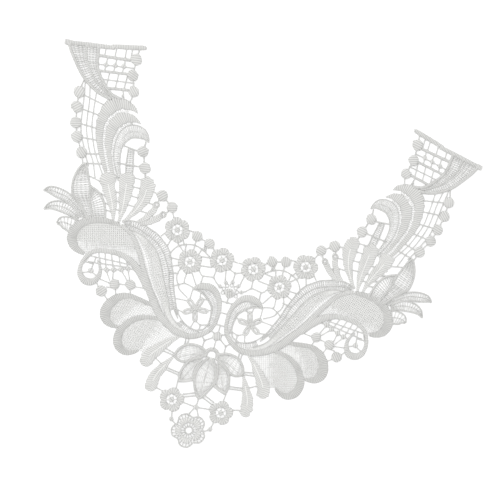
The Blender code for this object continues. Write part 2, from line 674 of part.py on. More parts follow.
BOTTOM_LOBES, BOTTOM_NOTCH, BOTTOM_START = 5, 3.0, math.radians(54)
BOTTOM_DOTS = [(16.0, 6.0, 1.7)]
BOTTOM_BARS = [(17, 10.8, 16.3, 7.5), (14.5, 4.8, 11.5, 3), (11, 21.3, 1, 20.4), (1, 19.5, 4.2, 11.5)]
BOTTOM_EYE = (0.0, 20.3, 1.8)
BOTTOM_AXIS = [(0, 21, 0, 28)]


def both(shapes):
    """The shapes and their mirror images."""
    return shapes + [shape.mirrored() for shape in shapes]


def lotus_middle():
    outline = PETAL_MIDDLE_HALF + [(-x, y) for x, y in PETAL_MIDDLE_HALF[-2:0:-1]]
    return [panel(outline), cord(PETAL_MIDDLE_RIB, RIB_HALF, RIB_RISE)]


def lotus_side():
    return [panel(PETAL_SIDE), cord(PETAL_SIDE_RIB, RIB_HALF, RIB_RISE)] + bars(BARS_PETAL_SIDE)


def lotus_low():
    return [panel(PETAL_LOW), cord(PETAL_LOW_RIB, RIB_HALF, RIB_RISE)] + bars(BARS_PETAL_LOW)


def heart():
    return both([strip(ARCH)] + bars(HEART_BARS)) + [ball(*HEART_BALL)] + bars(HEART_AXIS)


def disc_flower():
    sides = both(dots(DISC_DOTS) + bars(DISC_BARS))
    return sides + [ball(*DISC), *dots([DISC_TOP_DOT])] + bars(DISC_AXIS)


def bottom_flower():
    sides = both(dots(BOTTOM_DOTS) + bars(BOTTOM_BARS))
    petals = flower(*BOTTOM_FLOWER, BOTTOM_LOBES, BOTTOM_NOTCH, BOTTOM_START)
    return sides + [petals, *dots([BOTTOM_EYE])] + bars(BOTTOM_AXIS)


# The pieces. Where two meet, the later one is cut back to leave the gap. Columns:
# name, shapes, whether it lies on the middle line

PIECES = [
    ("stem", stem(), False),
    ("curl", curl(), False),
    ("finger_low_outer", [strip(FINGER_G, SATIN_RISE)], False),
    ("lobe_low", lobe(LOBE_LOW, LOBE_LOW_REST), False),
    ("lobe_middle", lobe(LOBE_MIDDLE, LOBE_MIDDLE_REST), False),
    ("lobe_top", lobe(LOBE_TOP, LOBE_TOP_REST), False),
    ("leaf_double", double_leaf(), False),
    ("leaves_edge", edge_leaves(), False),
    ("finger_a", [strip(FINGER_A, SATIN_RISE)] + bars(BARS_LEAF_A), False),
    ("finger_b", [strip(FINGER_B, SATIN_RISE)] + bars(BARS_A_B), False),
    ("finger_c", [strip(FINGER_C, SATIN_RISE)] + bars(BARS_B_C), False),
    ("flower_neck", [rosette(FLOWER_NECK)] + bars(NECK_BARS), False),
    ("fingers_small", small_fingers(), False),
    ("end_panel", end_panel(), False),
    ("plume_outer", [strip(PLUME_OUTER, SATIN_RISE)], False),
    ("plume_middle", [strip(PLUME_MIDDLE, SATIN_RISE)], False),
    ("plume_inner", inner_plume(), False),
    ("balls_outer", outer_balls(), False),
    ("ladder", ladder(), False),
    ("flower_middle", [rosette(FLOWER_MIDDLE)] + bars(MIDDLE_BARS), False),
    ("disc_flower", disc_flower(), True),
    ("flower_net", flower_net(), False),
    ("flower_loops", loop_flower(), False),
    ("lotus_middle", lotus_middle(), True),
    ("lotus_low", lotus_low(), False),
    ("lotus_side", lotus_side(), False),
    ("heart", heart(), True),
    ("finger_low_inner", [strip(FINGER_H, SATIN_RISE)] + bars(BARS_G_H), False),
    ("flower_low", [rosette(FLOWER_LOW, LOW_LOBES, LOW_START)] + bars(LOW_BARS), False),
    ("bottom_flower", bottom_flower(), True),
]


# From shapes to solids

def islands(triangles):
    """The triangles in groups that hang together by their sides."""
    beside = {}
    for i, corners in enumerate(triangles):
        for k in range(3):
            beside.setdefault(frozenset((corners[k], corners[k - 1])), []).append(i)
    group = list(range(len(triangles)))

    def head(i):
        while group[i] != i:
            i = group[i]
        return i

    for sharing in beside.values():
        for other in sharing[1:]:
            group[head(other)] = head(sharing[0])
    found = {}
    for i in range(len(triangles)):
        found.setdefault(head(i), []).append(triangles[i])
    return list(found.values())


def doubled_area(points, triangle):
    """Twice the signed area of a triangle."""
    (ax, ay), (bx, by), (cx, cy) = (points[i] for i in triangle)
    return (bx - ax) * (cy - ay) - (cx - ax) * (by - ay)


def outer_sides(triangles):
    """The directed sides that only one triangle has, with the lace on their left."""
    sides = {(t[k - 1], t[k]) for t in triangles for k in range(3)}
    return [(a, b) for a, b in sides if (b, a) not in sides]


def turned(points, faces):
    """The triangles in anticlockwise order."""
    return [tuple(f) if doubled_area(points, f) > 0 else tuple(f)[::-1] for f in faces]


def flat_piece(shapes, cutters):
    """Points and triangles of the union of the shapes, less their holes and what is within
    the gap of the cutters. Only its largest island counts."""
    points, loops, lines = [], [], []
    for shape in shapes:
        for crest in shape.crests:
            first = len(points)
            points.extend(crest)
            lines.extend((first + i, first + i + 1) for i in range(len(crest) - 1))
    folds = set(range(len(lines)))
    edge_count = len(lines)
    solid = set()
    for i, (shape, grow) in enumerate([(s, 0.0) for s in shapes] + [(c, GAP) for c in cutters]):
        outline = shape.outline(grow)
        loops.append(list(range(len(points), len(points) + len(outline))))
        points.extend(outline)
        if i < len(shapes):
            if not shape.is_hole:
                solid.add(i)
            if shape.crests:
                folds.update(range(edge_count, edge_count + len(outline)))
        edge_count += len(outline)
    cut = delaunay_2d_cdt(points, lines, loops, 0, MERGE, True)
    found, edges, faces, _, from_edges, from_loops = cut
    found = [tuple(p) for p in found]
    kept = [face for face, source in zip(faces, from_loops) if source and solid.issuperset(source)]
    groups = islands(turned(found, kept))
    largest = max(groups, key=lambda group: sum(doubled_area(found, t) for t in group))
    inside = {frozenset((t[k - 1], t[k])) for t in largest for k in range(3)}
    creases = [
        tuple(edge) for edge, source in zip(edges, from_edges)
        if frozenset(edge) in inside and folds & set(source)
    ]
    return refilled(found, outer_sides(largest), creases)


def refilled(points, rim, creases):
    """The area inside the rim in few triangles, with an edge along each crease."""
    used = sorted({i for edge in rim + creases for i in edge})
    place = {old: new for new, old in enumerate(used)}
    lines = [(place[a], place[b]) for a, b in rim + creases]
    again = delaunay_2d_cdt([points[i] for i in used], lines, [], 0, MERGE, True)
    found, _, faces, from_points, _, _ = again
    found = [tuple(p) for p in found]
    now_at = {old: new for new, olds in enumerate(from_points) for old in olds}
    triangles = turned(found, faces)
    owner = {(t[k - 1], t[k]): i for i, t in enumerate(triangles) for k in range(3)}
    walls = {(now_at[place[a]], now_at[place[b]]) for a, b in rim}
    reached = {owner[side] for side in walls if side in owner}
    waiting = list(reached)
    while waiting:
        t = triangles[waiting.pop()]
        for k in range(3):
            side = (t[k - 1], t[k])
            beyond = owner.get(side[::-1])
            if side not in walls and beyond is not None and beyond not in reached:
                reached.add(beyond)
                waiting.append(beyond)
    return found, [triangles[i] for i in sorted(reached)]


def add_piece(name, points, triangles, shapes, side, collection, material):
    """One closed solid: a flat underside, upright edges and a top that rises with the shapes."""
    used = sorted({i for t in triangles for i in t})
    index = {old: new for new, old in enumerate(used)}
    low, high = [], []
    for i in used:
        x, y = points[i]
        u, v = lay(side * x, y)
        top = WALL + max(shape.rise((x, y)) for shape in shapes)
        low.append((u / MM_PER_METRE, v / MM_PER_METRE, 0.0))
        high.append((u / MM_PER_METRE, v / MM_PER_METRE, top / MM_PER_METRE))
    count = len(used)
    faces, edges = [], {}
    for t in triangles:
        a, b, c = (index[i] for i in (t if side > 0 else t[::-1]))
        faces += [(a + count, b + count, c + count), (c, b, a)]
        for edge in ((a, b), (b, c), (c, a)):
            edges[edge] = True
    for a, b in edges:
        if (b, a) not in edges:
            faces.append((a, b, b + count, a + count))
    mesh = bpy.data.meshes.new(name)
    mesh.from_pydata(low + high, [], faces)
    mesh.update()
    mesh.materials.append(material)
    piece = bpy.data.objects.new(name, mesh)
    collection.objects.link(piece)


def lace_material():
    """Matt off-white thread."""
    material = bpy.data.materials.new("lace_thread")
    material.use_nodes = True
    shader = material.node_tree.nodes["Principled BSDF"]
    shader.inputs["Base Color"].default_value = COLOUR
    shader.inputs["Roughness"].default_value = ROUGHNESS
    return material


def build():
    for old in list(bpy.data.objects):
        bpy.data.objects.remove(old)
    collection = bpy.data.collections.new("lace_collar")
    bpy.context.scene.collection.children.link(collection)
    material = lace_material()
    earlier = []
    for name, shapes, is_middle in PIECES:
        cutters = list(earlier)
        if is_middle:
            cutters = both(cutters)
        points, triangles = flat_piece(shapes, cutters)
        places = {name: 1} if is_middle else {f"{name}_{side}": SIDES[side] for side in SIDES}
        for full_name, side in places.items():
            add_piece(full_name, points, triangles, shapes, side, collection, material)
        earlier += [shape for shape in shapes if not shape.is_hole]


build()
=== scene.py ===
"""The looks of a flat lace collar: every motif in its own stitches, on a pale floor.

The collar is drawn in its own frame, in millimetres: out is the distance from the middle
line and up the height above the bottom flower's centre. One half is drawn, and lay() puts
each half down with the slight sway of the real one, in metres.
"""

import math

import bpy
import numpy as np
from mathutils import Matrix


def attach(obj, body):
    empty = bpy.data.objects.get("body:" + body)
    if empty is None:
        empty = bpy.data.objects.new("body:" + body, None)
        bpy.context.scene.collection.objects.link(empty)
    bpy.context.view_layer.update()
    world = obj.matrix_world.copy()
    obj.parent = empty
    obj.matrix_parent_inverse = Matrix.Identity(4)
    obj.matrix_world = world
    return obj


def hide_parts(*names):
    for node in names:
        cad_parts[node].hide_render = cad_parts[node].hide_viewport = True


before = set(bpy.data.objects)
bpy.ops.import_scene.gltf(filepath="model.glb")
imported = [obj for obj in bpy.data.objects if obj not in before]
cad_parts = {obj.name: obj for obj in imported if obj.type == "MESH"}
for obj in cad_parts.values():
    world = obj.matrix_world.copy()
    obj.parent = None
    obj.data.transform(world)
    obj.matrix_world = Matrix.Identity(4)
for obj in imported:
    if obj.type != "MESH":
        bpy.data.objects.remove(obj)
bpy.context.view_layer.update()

# The stitches, in millimetres: a pitch is the distance from one to the next, a rise the height of
# the padding, a nip how far the edge draws in between two, a relief how deep the groove is there
FINE_PITCH = 1.1
CORD_PITCH = 1.3
COARSE_PITCH = 1.6
BALL_PITCH = 1.7
SATIN_RISE = 0.95
BROAD_RISE = 1.1
LOW_RISE = 0.6
STITCH_RELIEF = 0.3
BROAD_RELIEF = 0.28
BALL_RELIEF = (0.05, 0.34)
FINE_NIP = 0.1
LEAF_NIP = 0.12
COARSE_NIP = 0.32
EDGE = 0.35
LEAST_HEIGHT = 0.25
LEAST_HALF = 0.12
# Steps along a stitch, points across a crown, where the foot stands as a share of the half
# width, and how much height, groove and reach change from stitch to stitch by chance
STITCH_STEPS = 4
CROWN_POINTS = 7
FOOT = 0.9
STITCH_ROUND = 0.6
THINNING = 0.7
UNEVEN_HEIGHT = 0.05
UNEVEN_GROOVE = 0.3
UNEVEN_FINE = 0.025
UNEVEN_COARSE = 0.07

# The threads, in millimetres: radii, the heights they lie at, one turn of two plies and how
# far they bulge, the step along a thread, and how far a bar runs into what it joins
BAR = 0.41
FINE = 0.32
LEAF_RUNG = 0.42
FLAT_THREAD = 0.15
BAR_LEVEL = 0.45
VEIN_LEVEL = 0.6
NET_LEVEL = 0.22
NET_SWING = 0.05
TWIST = 2.2
PLY = 0.16
THREAD_STEP = 0.5
TUCK = 0.9

# The finishes, by their place in FINISHES
SATIN, TWISTED, GROUND, LOOSE, DENSE, BRIGHT = range(6)

# The collar as it was put down: a sideways sway and a slight tilt of the rows, in millimetres
SWAY_HEIGHT = 280.0
SWAY_RUN = 5.8
SWAY_RETURN = 9.3
SPREAD = 1.5
SPREAD_WIDTH = 100.0
TILT = 0.019
TILT_RETURN = 0.033
MIDDLE_ACROSS = -7.7
MIDDLE_ALONG = 136.0
MM_PER_METRE = 1000.0
SIDES = {"left": -1, "right": 1}

# The view: straight down, the frame turned, in metres
VIEW_TURN = math.radians(16.2)
VIEW_CENTRE = (0.01456, 0.0170)
VIEW_HEIGHT = 1.6
# Lens and sensor, in millimetres
VIEW_LENS = 144.0
SENSOR = 36.0

# A wave texture of scale 1 repeats every 2 pi / 20
WAVE_TURN = 2 * math.pi / 20
# Noise scales to a metre: soft patches of about 8 mm, and fuzz of about half a millimetre
CLOUD_SCALE = 120.0
FUZZ_SCALE = 2200.0
# The bump's height in metres, and the strands that show on one stitch
BUMP_HEIGHT = 0.0002
STRANDS = 3

LEAST_WIDTH = 0.011
FULLEST, OPENEST = 1.5, 0.35

rng = np.random.default_rng(11)


def lay(x, y):
    """Where a point of the symmetrical pattern lies: the rows slide sideways along a
    parabola in height, draw in with the square of the width, and tilt a little."""
    height = y / SWAY_HEIGHT
    width = x / SPREAD_WIDTH
    across = x + SWAY_RUN * height - SWAY_RETURN * height**2 - SPREAD * width**2
    along = y + x * (TILT - TILT_RETURN * height)
    return across - MIDDLE_ACROSS, along - MIDDLE_ALONG


# Curves

# Points on a span of a curve, on each edge of a plume and on the curve searched for the nearest
CURVE_STEPS = 12
PLUME_STEPS = 40
SEARCH_STEPS = 400


def smooth(rows, closed=False):
    """A Catmull-Rom curve through the rows, every column alike: on each span the cubic
    whose slope at a row is half the difference of its neighbours."""
    rows = np.asarray(rows, float)
    if len(rows) < 3:
        share = np.linspace(0, 1, CURVE_STEPS + 1)[:, None]
        return rows[0] + (rows[-1] - rows[0]) * share
    ahead = np.roll(rows, -1, 0) if closed else np.concatenate([rows[1:], rows[-1:]])
    behind = np.roll(rows, 1, 0) if closed else np.concatenate([rows[:1], rows[:-1]])
    beyond = np.roll(ahead, -1, 0) if closed else np.concatenate([rows[2:], rows[-1:], rows[-1:]])
    spans = len(rows) if closed else len(rows) - 1
    a, b, c, d = (p[:spans, None] for p in (behind, rows, ahead, beyond))
    t = (np.arange(CURVE_STEPS) / CURVE_STEPS)[None, :, None]
    found = b + 0.5 * t * (c - a + t * (2 * a - 5 * b + 4 * c - d + t * (3 * (b - c) + d - a)))
    found = found.reshape(-1, rows.shape[1])
    return np.concatenate([found, rows[:1] if closed else rows[-1:]])


def spaced(path, count):
    """The path read at count points, evenly along its length."""
    length = np.concatenate([[0.0], np.cumsum(np.hypot(*np.diff(path[:, :2], axis=0).T))])
    at = np.linspace(0, length[-1], count)
    return np.stack([np.interp(at, length, column) for column in path.T], 1)


def length_of(path):
    """The length of the straight spans between the points."""
    return np.hypot(*np.diff(path[:, :2], axis=0).T).sum()


def headings(path, closed=False):
    """A unit vector along the path at each point, from the neighbours on both sides."""
    if closed:
        way = np.roll(path, -1, 0) - np.roll(path, 1, 0)
    else:
        way = np.gradient(path, axis=0)
    return way / np.maximum(np.linalg.norm(way, axis=1, keepdims=True), 1e-9)


def aside(way):
    """The vectors turned a quarter to the left."""
    return np.stack([-way[..., 1], way[..., 0]], -1)


def facing(edge_a, edge_b, count):
    """Points evenly along one curve, and for each the nearest point of the other, which
    never turns back and is evened over seven neighbours."""
    a = spaced(smooth(edge_a), count)[:, :2]
    b = spaced(smooth(edge_b), SEARCH_STEPS)[:, :2]
    nearest = np.linalg.norm(a[:, None] - b[None], axis=2).argmin(1)
    nearest = np.pad(np.maximum.accumulate(nearest), 3, mode="edge")
    nearest = np.convolve(nearest, np.full(7, 1 / 7), "valid")
    return a, np.stack([np.interp(nearest, np.arange(SEARCH_STEPS), column) for column in b.T], 1)


def between(edge_a, edge_b):
    """Rows half way between two facing edges: out, up, half the distance from edge to edge,
    how full it is there, and the unit vector to the left-hand edge."""
    a, b = facing(edge_a, edge_b, PLUME_STEPS)
    middle = (a + b) / 2
    half = (np.hypot(*(a - b).T) / 2).clip(0.2)
    way = headings(middle)
    across = (a - b) / 2 / half[:, None]
    if (aside(way) * across).sum() < 0:
        across = -across
    full = (half / half.max()) ** THINNING
    return np.column_stack([middle, half, full, across])


def offset(rows, share, inset=0.0):
    """The side of a strip of (out, up, half) rows: share of the half width to the left,
    less an inset."""
    path = smooth(rows)
    reach = (path[:, 2] - inset).clip(0.05) * share
    return path[:, :2] + aside(headings(path[:, :2])) * reach[:, None]


# Skins

def loft(rings, coords, closed=False):
    """Skins over rings of points: rings is (bodies, rings, points round, 3) and coords the
    matching thread coordinates. Each ring joins the next point by point. The ends are drawn
    together at a pole, or the last ring joins the first. A three-sided face has -1 last."""
    bodies, count, sides = rings.shape[:3]
    index = np.arange(count * sides).reshape(count, sides)
    here = index if closed else index[:-1]
    ahead = np.roll(index, -1, 0) if closed else index[1:]
    faces = np.stack([here, np.roll(here, -1, 1), np.roll(ahead, -1, 1), ahead], -1).reshape(-1, 4)
    points = rings.reshape(bodies, -1, 3)
    coords = coords.reshape(bodies, -1, 2)
    if not closed:
        points = np.concatenate([points, rings[:, [0, -1]].mean(2)], 1)
        ends = coords[:, [0, -1]]
        coords = np.concatenate([coords, ends], 1)
        first, last = index[0], index[-1]
        none = np.full(sides, -1)
        start = np.stack([np.full(sides, count * sides), np.roll(first, -1), first, none], -1)
        finish = np.stack([np.full(sides, count * sides + 1), last, np.roll(last, -1), none], -1)
        faces = np.concatenate([faces, start, finish])
    step = np.arange(bodies)[:, None, None] * points.shape[1]
    faces = np.where(faces[None] < 0, -1, faces[None] + step)
    return points.reshape(-1, 3), faces.reshape(-1, 4), coords.reshape(-1, 2)


def round_crown(across):
    """A padded strip: a half ellipse, a little fuller at its sides."""
    return np.sqrt(1 - across**2).clip(0) ** 0.9


def double_crown(across):
    """A wide padded band with a narrow one along its left edge, as two half ellipses."""
    wide = np.sqrt((1 - ((across + 0.22) / 0.78) ** 2).clip(0))
    narrow = 0.65 * np.sqrt((1 - ((across - 0.68) / 0.32) ** 2).clip(0))
    return np.maximum(wide, narrow)


def veined_crown(across):
    """A padded leaf: a half ellipse with a narrow dip along the middle."""
    return round_crown(across) * (1 - 0.55 * np.exp(-(across / 0.16) ** 2))


def satin(rows, rise=SATIN_RISE, pitch=FINE_PITCH, chevron=0.0, crown=round_crown, points=CROWN_POINTS,
          closed=False, edge=EDGE, finish=SATIN, relief=STITCH_RELIEF, nip=None):
    """A strip of stitches laid side by side over padding. The cross-section has a flat foot,
    upright edges and a crown, and is carried along the curve through the (out, up, half)
    rows. Every stitch swells as the root of a sine between its two needle rows, and reaches a
    little further or less on either side by chance. In a chevron the rings run back from the
    middle, by chevron times the distance from it. Rows may go on with how full the padding is
    and the unit vector to the left."""
    rows = np.asarray(rows, float)
    path = smooth(rows, closed)
    stitches = max(2, round(length_of(path) / pitch))
    path = spaced(path, stitches * STITCH_STEPS + 1)
    if closed:
        path = path[:-1]
    stitch = np.arange(len(path)) / STITCH_STEPS
    swell = np.abs(np.sin(np.pi * stitch)) ** STITCH_ROUND
    coarse = pitch >= COARSE_PITCH
    chance = rng.normal(0, 1, (3, stitches + 1))[:, stitch.astype(int)]
    way = headings(path[:, :2], closed)
    side = aside(way) if path.shape[1] < 6 else path[:, 4:6]
    if nip is None:
        nip = COARSE_NIP if coarse else FINE_NIP
    half = (path[:, 2] - nip * (1 - swell)).clip(LEAST_HALF)
    full = (path[:, 2] / path[:, 2].max()) ** THINNING if path.shape[1] < 4 else path[:, 3]
    turn = np.linspace(0, np.pi, points)
    across = np.concatenate([np.cos(turn), [-FOOT, FOOT]])
    height = edge + rise * (full * (1 + UNEVEN_HEIGHT * chance[1]))[:, None] * crown(np.cos(turn))[None]
    height = height - relief * ((1 - swell) * (1 + UNEVEN_GROOVE * np.abs(chance[1])))[:, None]
    height = np.concatenate([height.clip(LEAST_HEIGHT), np.zeros((len(path), 2))], 1)
    uneven = np.where(across > 0, chance[0][:, None], chance[2][:, None])
    reach = half[:, None] * across * (1 + (UNEVEN_COARSE if coarse else UNEVEN_FINE) * uneven)
    lean = -chevron * np.abs(reach)
    flat = path[:, None, :2] + side[:, None] * reach[..., None] + way[:, None] * lean[..., None]
    rings = np.concatenate([flat, height[..., None]], -1)
    along = np.broadcast_to(stitch[:, None], reach.shape)
    return *loft(rings[None], np.stack([along, reach], -1)[None], closed), finish


def broad_cord(rows):
    """A thick rope of satin: the stem, its scroll and the curl."""
    return satin(rows, rise=BROAD_RISE, pitch=CORD_PITCH, relief=BROAD_RELIEF)


def cord(line, half, **kind):
    """A satin strip of one width through (out, up) points."""
    return satin([(x, y, half) for x, y in line], **kind)


def circle(count):
    """Unit vectors evenly round a circle."""
    turn = np.linspace(0, 2 * np.pi, count, endpoint=False)
    return np.stack([np.cos(turn), np.sin(turn)], 1)


def ball(out, up, radius, lean=0.3, rise=1.75):
    """A stuffed dot: stitches side by side, whose half length follows the circle."""
    turn = np.linspace(0.08, np.pi - 0.08, 11)
    along = -radius * np.cos(turn)
    rows = np.stack([out + along * math.cos(lean), up + along * math.sin(lean), radius * np.sin(turn)], 1)
    relief = rng.uniform(*BALL_RELIEF)
    return satin(rows, rise=rise, pitch=BALL_PITCH, points=9, edge=0.5, relief=relief, nip=LEAF_NIP)


def threads(paths, radius, sides=5, ply=0.0, finish=GROUND):
    """Round threads along paths, an array of (threads, points, 3). A circle is carried along
    each, square to it, and pressed flat where a thread that isn't twisted is thick. With two
    plies the circle swells twice round, by ply, and turns once in every TWIST millimetres."""
    paths = np.asarray(paths, float)
    way = np.gradient(paths, axis=1)
    way /= np.linalg.norm(way, axis=-1, keepdims=True).clip(1e-9)
    side = np.cross([0.0, 0.0, 1.0], way)
    side /= np.linalg.norm(side, axis=-1, keepdims=True).clip(1e-9)
    rise = np.cross(way, side)
    turn = np.linspace(0, 2 * np.pi, sides, endpoint=False)
    count = paths.shape[1]
    run = np.arange(count) * THREAD_STEP
    radius = np.broadcast_to(np.asarray(radius, float), paths.shape[:2])[..., None]
    swell = 1 + ply * np.cos(2 * (turn[None] - 2 * np.pi * run[:, None] / TWIST))
    swell = radius * swell[None]
    tall = swell if finish == TWISTED else np.minimum(swell, FLAT_THREAD)
    rings = (
        paths[:, :, None]
        + side[:, :, None] * (np.cos(turn) * swell)[..., None]
        + rise[:, :, None] * (np.sin(turn) * tall)[..., None]
    )
    coords = np.stack(np.broadcast_arrays(run[None, :, None], turn * radius), -1)
    return *loft(rings, coords), finish


def twisted(path, radius=BAR, level=BAR_LEVEL):
    """One two-ply thread along a curve of (out, up) points."""
    path = smooth(path)
    count = max(4, math.ceil(length_of(path) / THREAD_STEP) + 1)
    path = spaced(path, count)
    sway = NET_SWING * np.sin(np.linspace(0, 3 * np.pi, count))
    path = np.concatenate([path, (level + sway)[:, None]], 1)
    return threads(path[None], radius, 8, PLY, finish=TWISTED)


def bars(rows, radius=BAR):
    """Straight bars of twisted thread, one for each (out, up, to_out, to_up), run a little
    into what they join."""
    made = []
    for x0, y0, x1, y1 in rows:
        length = math.hypot(x1 - x0, y1 - y0)
        dx, dy = (x1 - x0) / length * TUCK, (y1 - y0) / length * TUCK
        made.append(twisted([(x0 - dx, y0 - dy), (x1 + dx, y1 + dy)], radius))
    return made


def rungs(edge_a, edge_b, pitch, radius, bow=0.0, finish=GROUND):
    """Threads across from one curve to the nearest point of another, evenly spaced along the
    first, each a little arched and bowed along by a sine. Two radii are those of the first
    thread and the last."""
    count = max(2, round(length_of(smooth(edge_a)) / pitch))
    a, b = facing(edge_a, edge_b, count + 1)
    a, b = (a[1:] + a[:-1]) / 2, (b[1:] + b[:-1]) / 2
    wide = np.hypot(*(b - a).T)
    steps = int(np.clip(wide.max() / 1.2, 2, 8)) + 1
    share = np.linspace(0, 1, steps)[None, :, None]
    flat = a[:, None] + (b - a)[:, None] * share
    arch = np.sin(np.pi * share)
    along = headings((a + b) / 2)[:, None]
    flat = flat + along * arch * bow + along * rng.normal(0, 0.08, (count, 1, 1)) * arch
    height = np.broadcast_to(NET_LEVEL + 0.06 * arch, (*flat.shape[:2], 1))
    radius = np.linspace(*np.broadcast_to(radius, 2), count)[:, None]
    radius = radius * (1 + rng.normal(0, 0.06, (count, 1)))
    return threads(np.concatenate([flat, height], -1), radius, finish=finish)


def ribbon_net(edge_a, edge_b, lanes, radius, pitch, cross):
    """A net that follows a ribbon: lanes of one radius run from end to end at even shares of
    the width, and cross threads, whose radius is cross, pass over and under them."""
    count = max(3, round(length_of(smooth(edge_a)) / pitch)) * 2 + 1
    a, b = facing(edge_a, edge_b, count)
    share = (np.arange(lanes) + 0.5) / lanes
    grid = a[None] + (b - a)[None] * share[:, None, None]
    grid = grid + rng.normal(0, 0.05, grid.shape)
    parity = (-1.0) ** np.arange(lanes)[:, None]
    wave = NET_SWING * np.cos(np.pi * np.arange(count) / 2)[None] * parity
    laid = np.concatenate([grid, (NET_LEVEL + wave)[..., None]], -1)
    edges = np.concatenate([a[None], grid, b[None]])[:, ::2].transpose(1, 0, 2)
    level = np.full(edges.shape[:2], NET_LEVEL)
    level[:, 1:-1] -= wave[:, ::2].T
    return [threads(laid, radius), threads(np.concatenate([edges, level[..., None]], -1), cross)]


def weave(outline, angle, pitch, thick):
    """Plain weave inside an outline of (out, up) points: two families of parallel threads,
    square to each other, height a cosine along each with alternate signs, so that they
    pass over and under. thick(points, chance) is the radius of the thread there, with the
    thread's own chance."""
    ring = np.asarray(outline, float)
    turn = np.array([[math.cos(angle), -math.sin(angle)], [math.sin(angle), math.cos(angle)]])
    ring = ring @ turn
    after = np.roll(ring, -1, 0)
    made = []
    for axis, sign in ((0, 1.0), (1, -1.0)):
        low, high = ring[:, 1 - axis].min(), ring[:, 1 - axis].max()
        for number in range(math.ceil(low / pitch), math.ceil(high / pitch)):
            at = number * pitch
            a, b = ring[:, 1 - axis] - at, after[:, 1 - axis] - at
            crossed = (a > 0) != (b > 0)
            share = a[crossed] / (a[crossed] - b[crossed])
            meets = np.sort(ring[crossed, axis] + (after[crossed, axis] - ring[crossed, axis]) * share)
            for start, end in zip(meets[::2], meets[1::2]):
                if end - start < pitch:
                    continue
                run = np.linspace(start, end, max(3, math.ceil((end - start) / pitch * 2) + 1))
                flat = np.empty((len(run), 2))
                flat[:, axis] = run
                flat[:, 1 - axis] = at + rng.normal(0, 0.04) + rng.normal(0, 0.03, len(run))
                height = NET_LEVEL + sign * (-1) ** number * NET_SWING * np.cos(np.pi * run / pitch)
                flat = flat @ turn.T
                path = np.concatenate([flat, height[:, None]], 1)[None]
                made.append(threads(path, thick(flat, rng.normal())[None]))
    return made


def zones(start, reach, stops):
    """Thread radii in bands: start is a point and reach the vector from it across the bands.
    stops are (share of reach, radius), read linearly, and each thread changes a little
    sooner or later than its neighbours."""
    reach = np.asarray(reach, float)
    shares, radii = zip(*stops)

    def thick(at, chance):
        share = (at - np.asarray(start)) @ reach / (reach @ reach)
        return np.interp(share + 0.09 * chance, shares, radii)
    return thick


# Flowers and leaves, in millimetres: the stitches of a petal, the half width of a leaf's cord,
# an eyelet's outer radius and its half width. The last is a share of a finger's length
PETAL_PITCH = 1.4
LEAF_CORD = 0.6
EYE_RADIUS = 2.7
EYE_HALF = 0.75
FINGER_BARE = 0.24


def petals(out, up, radius, lobes, notch, start, inner, finish=SATIN):
    """A ring of petals in radial stitches: a closed strip from the inner circle to an
    outline that dips between the lobes, lower in the dips."""
    turn = np.linspace(0, 2 * np.pi, lobes * 10, endpoint=False)
    dip = (0.5 - 0.5 * np.cos(lobes * (turn - start))) ** 2.2
    outer = radius - notch * dip
    middle, half = (outer + inner) / 2, (outer - inner) / 2
    rows = np.stack([out + middle * np.cos(turn), up + middle * np.sin(turn), half, 1 - 0.6 * dip], 1)
    return satin(rows, rise=0.8, pitch=PETAL_PITCH, points=8, closed=True, finish=finish, relief=0.18)


def rosette(out, up, radius, lobes=6, start=0.0):
    """A round flower: petals, a ring of open spokes and a button."""
    inner = 0.4 * radius
    turn = np.linspace(0, 2 * np.pi, 6, endpoint=False) + start + rng.uniform(0, 1)
    reach = [(out + r * np.cos(turn), up + r * np.sin(turn)) for r in (0.18 * radius, inner + 0.3)]
    spokes = np.stack([*reach[0], *reach[1]], 1)
    eye = [ball(out, up, 0.21 * radius, lean=start + 0.5, rise=1.0)]
    return [petals(out, up, radius, lobes, 0.23 * radius, start, inner)] + bars(spokes, 0.16) + eye


def leaf_body(rows, **kind):
    """A padded leaf of coarse stitches, low along the middle, that make a chevron."""
    return satin(rows, pitch=COARSE_PITCH, crown=veined_crown, nip=LEAF_NIP, finish=LOOSE, **kind)


def finger(rows):
    """A leaf with a near-white cord along its middle, painted light that stands for light showing
    through the leaf there. The cord starts a quarter of the way from the tip, where the rows start, and ends
    near the foot."""
    path = smooth(rows)
    path = spaced(path, max(8, round(length_of(path) / 2)))
    body = leaf_body(path, rise=0.8, points=11, chevron=0.45)
    vein = path[int(len(path) * FINGER_BARE):-3:2, :2]
    # The vein's near-white finish is painted light, for light showing through the leaf along its middle
    return [body, cord(vein, 0.5, rise=0.75, points=5, finish=BRIGHT)]


def eyelet_leaf(rows, eye):
    """A small leaf and a ring round a hole at the tip."""
    ring = np.array(eye) + (EYE_RADIUS - EYE_HALF) * circle(12)
    return [leaf_body(rows, rise=0.7, points=9, chevron=0.4), cord(ring, EYE_HALF, closed=True)]


def outlined_leaf(rows):
    """A leaf with a cord along each side, rungs between the sides and a thread through them."""
    sides = [offset(rows, share, LEAF_CORD) for share in (1.0, -1.0)]
    made = [cord(side[::3], LEAF_CORD, rise=LOW_RISE, points=5) for side in sides]
    middle = smooth(rows)[2:-2, :2]
    return made + [rungs(*sides, 1.4, LEAF_RUNG), twisted(middle[::4], 0.25, VEIN_LEVEL)]


# The end of each arm. Columns of a strip: out, up, half

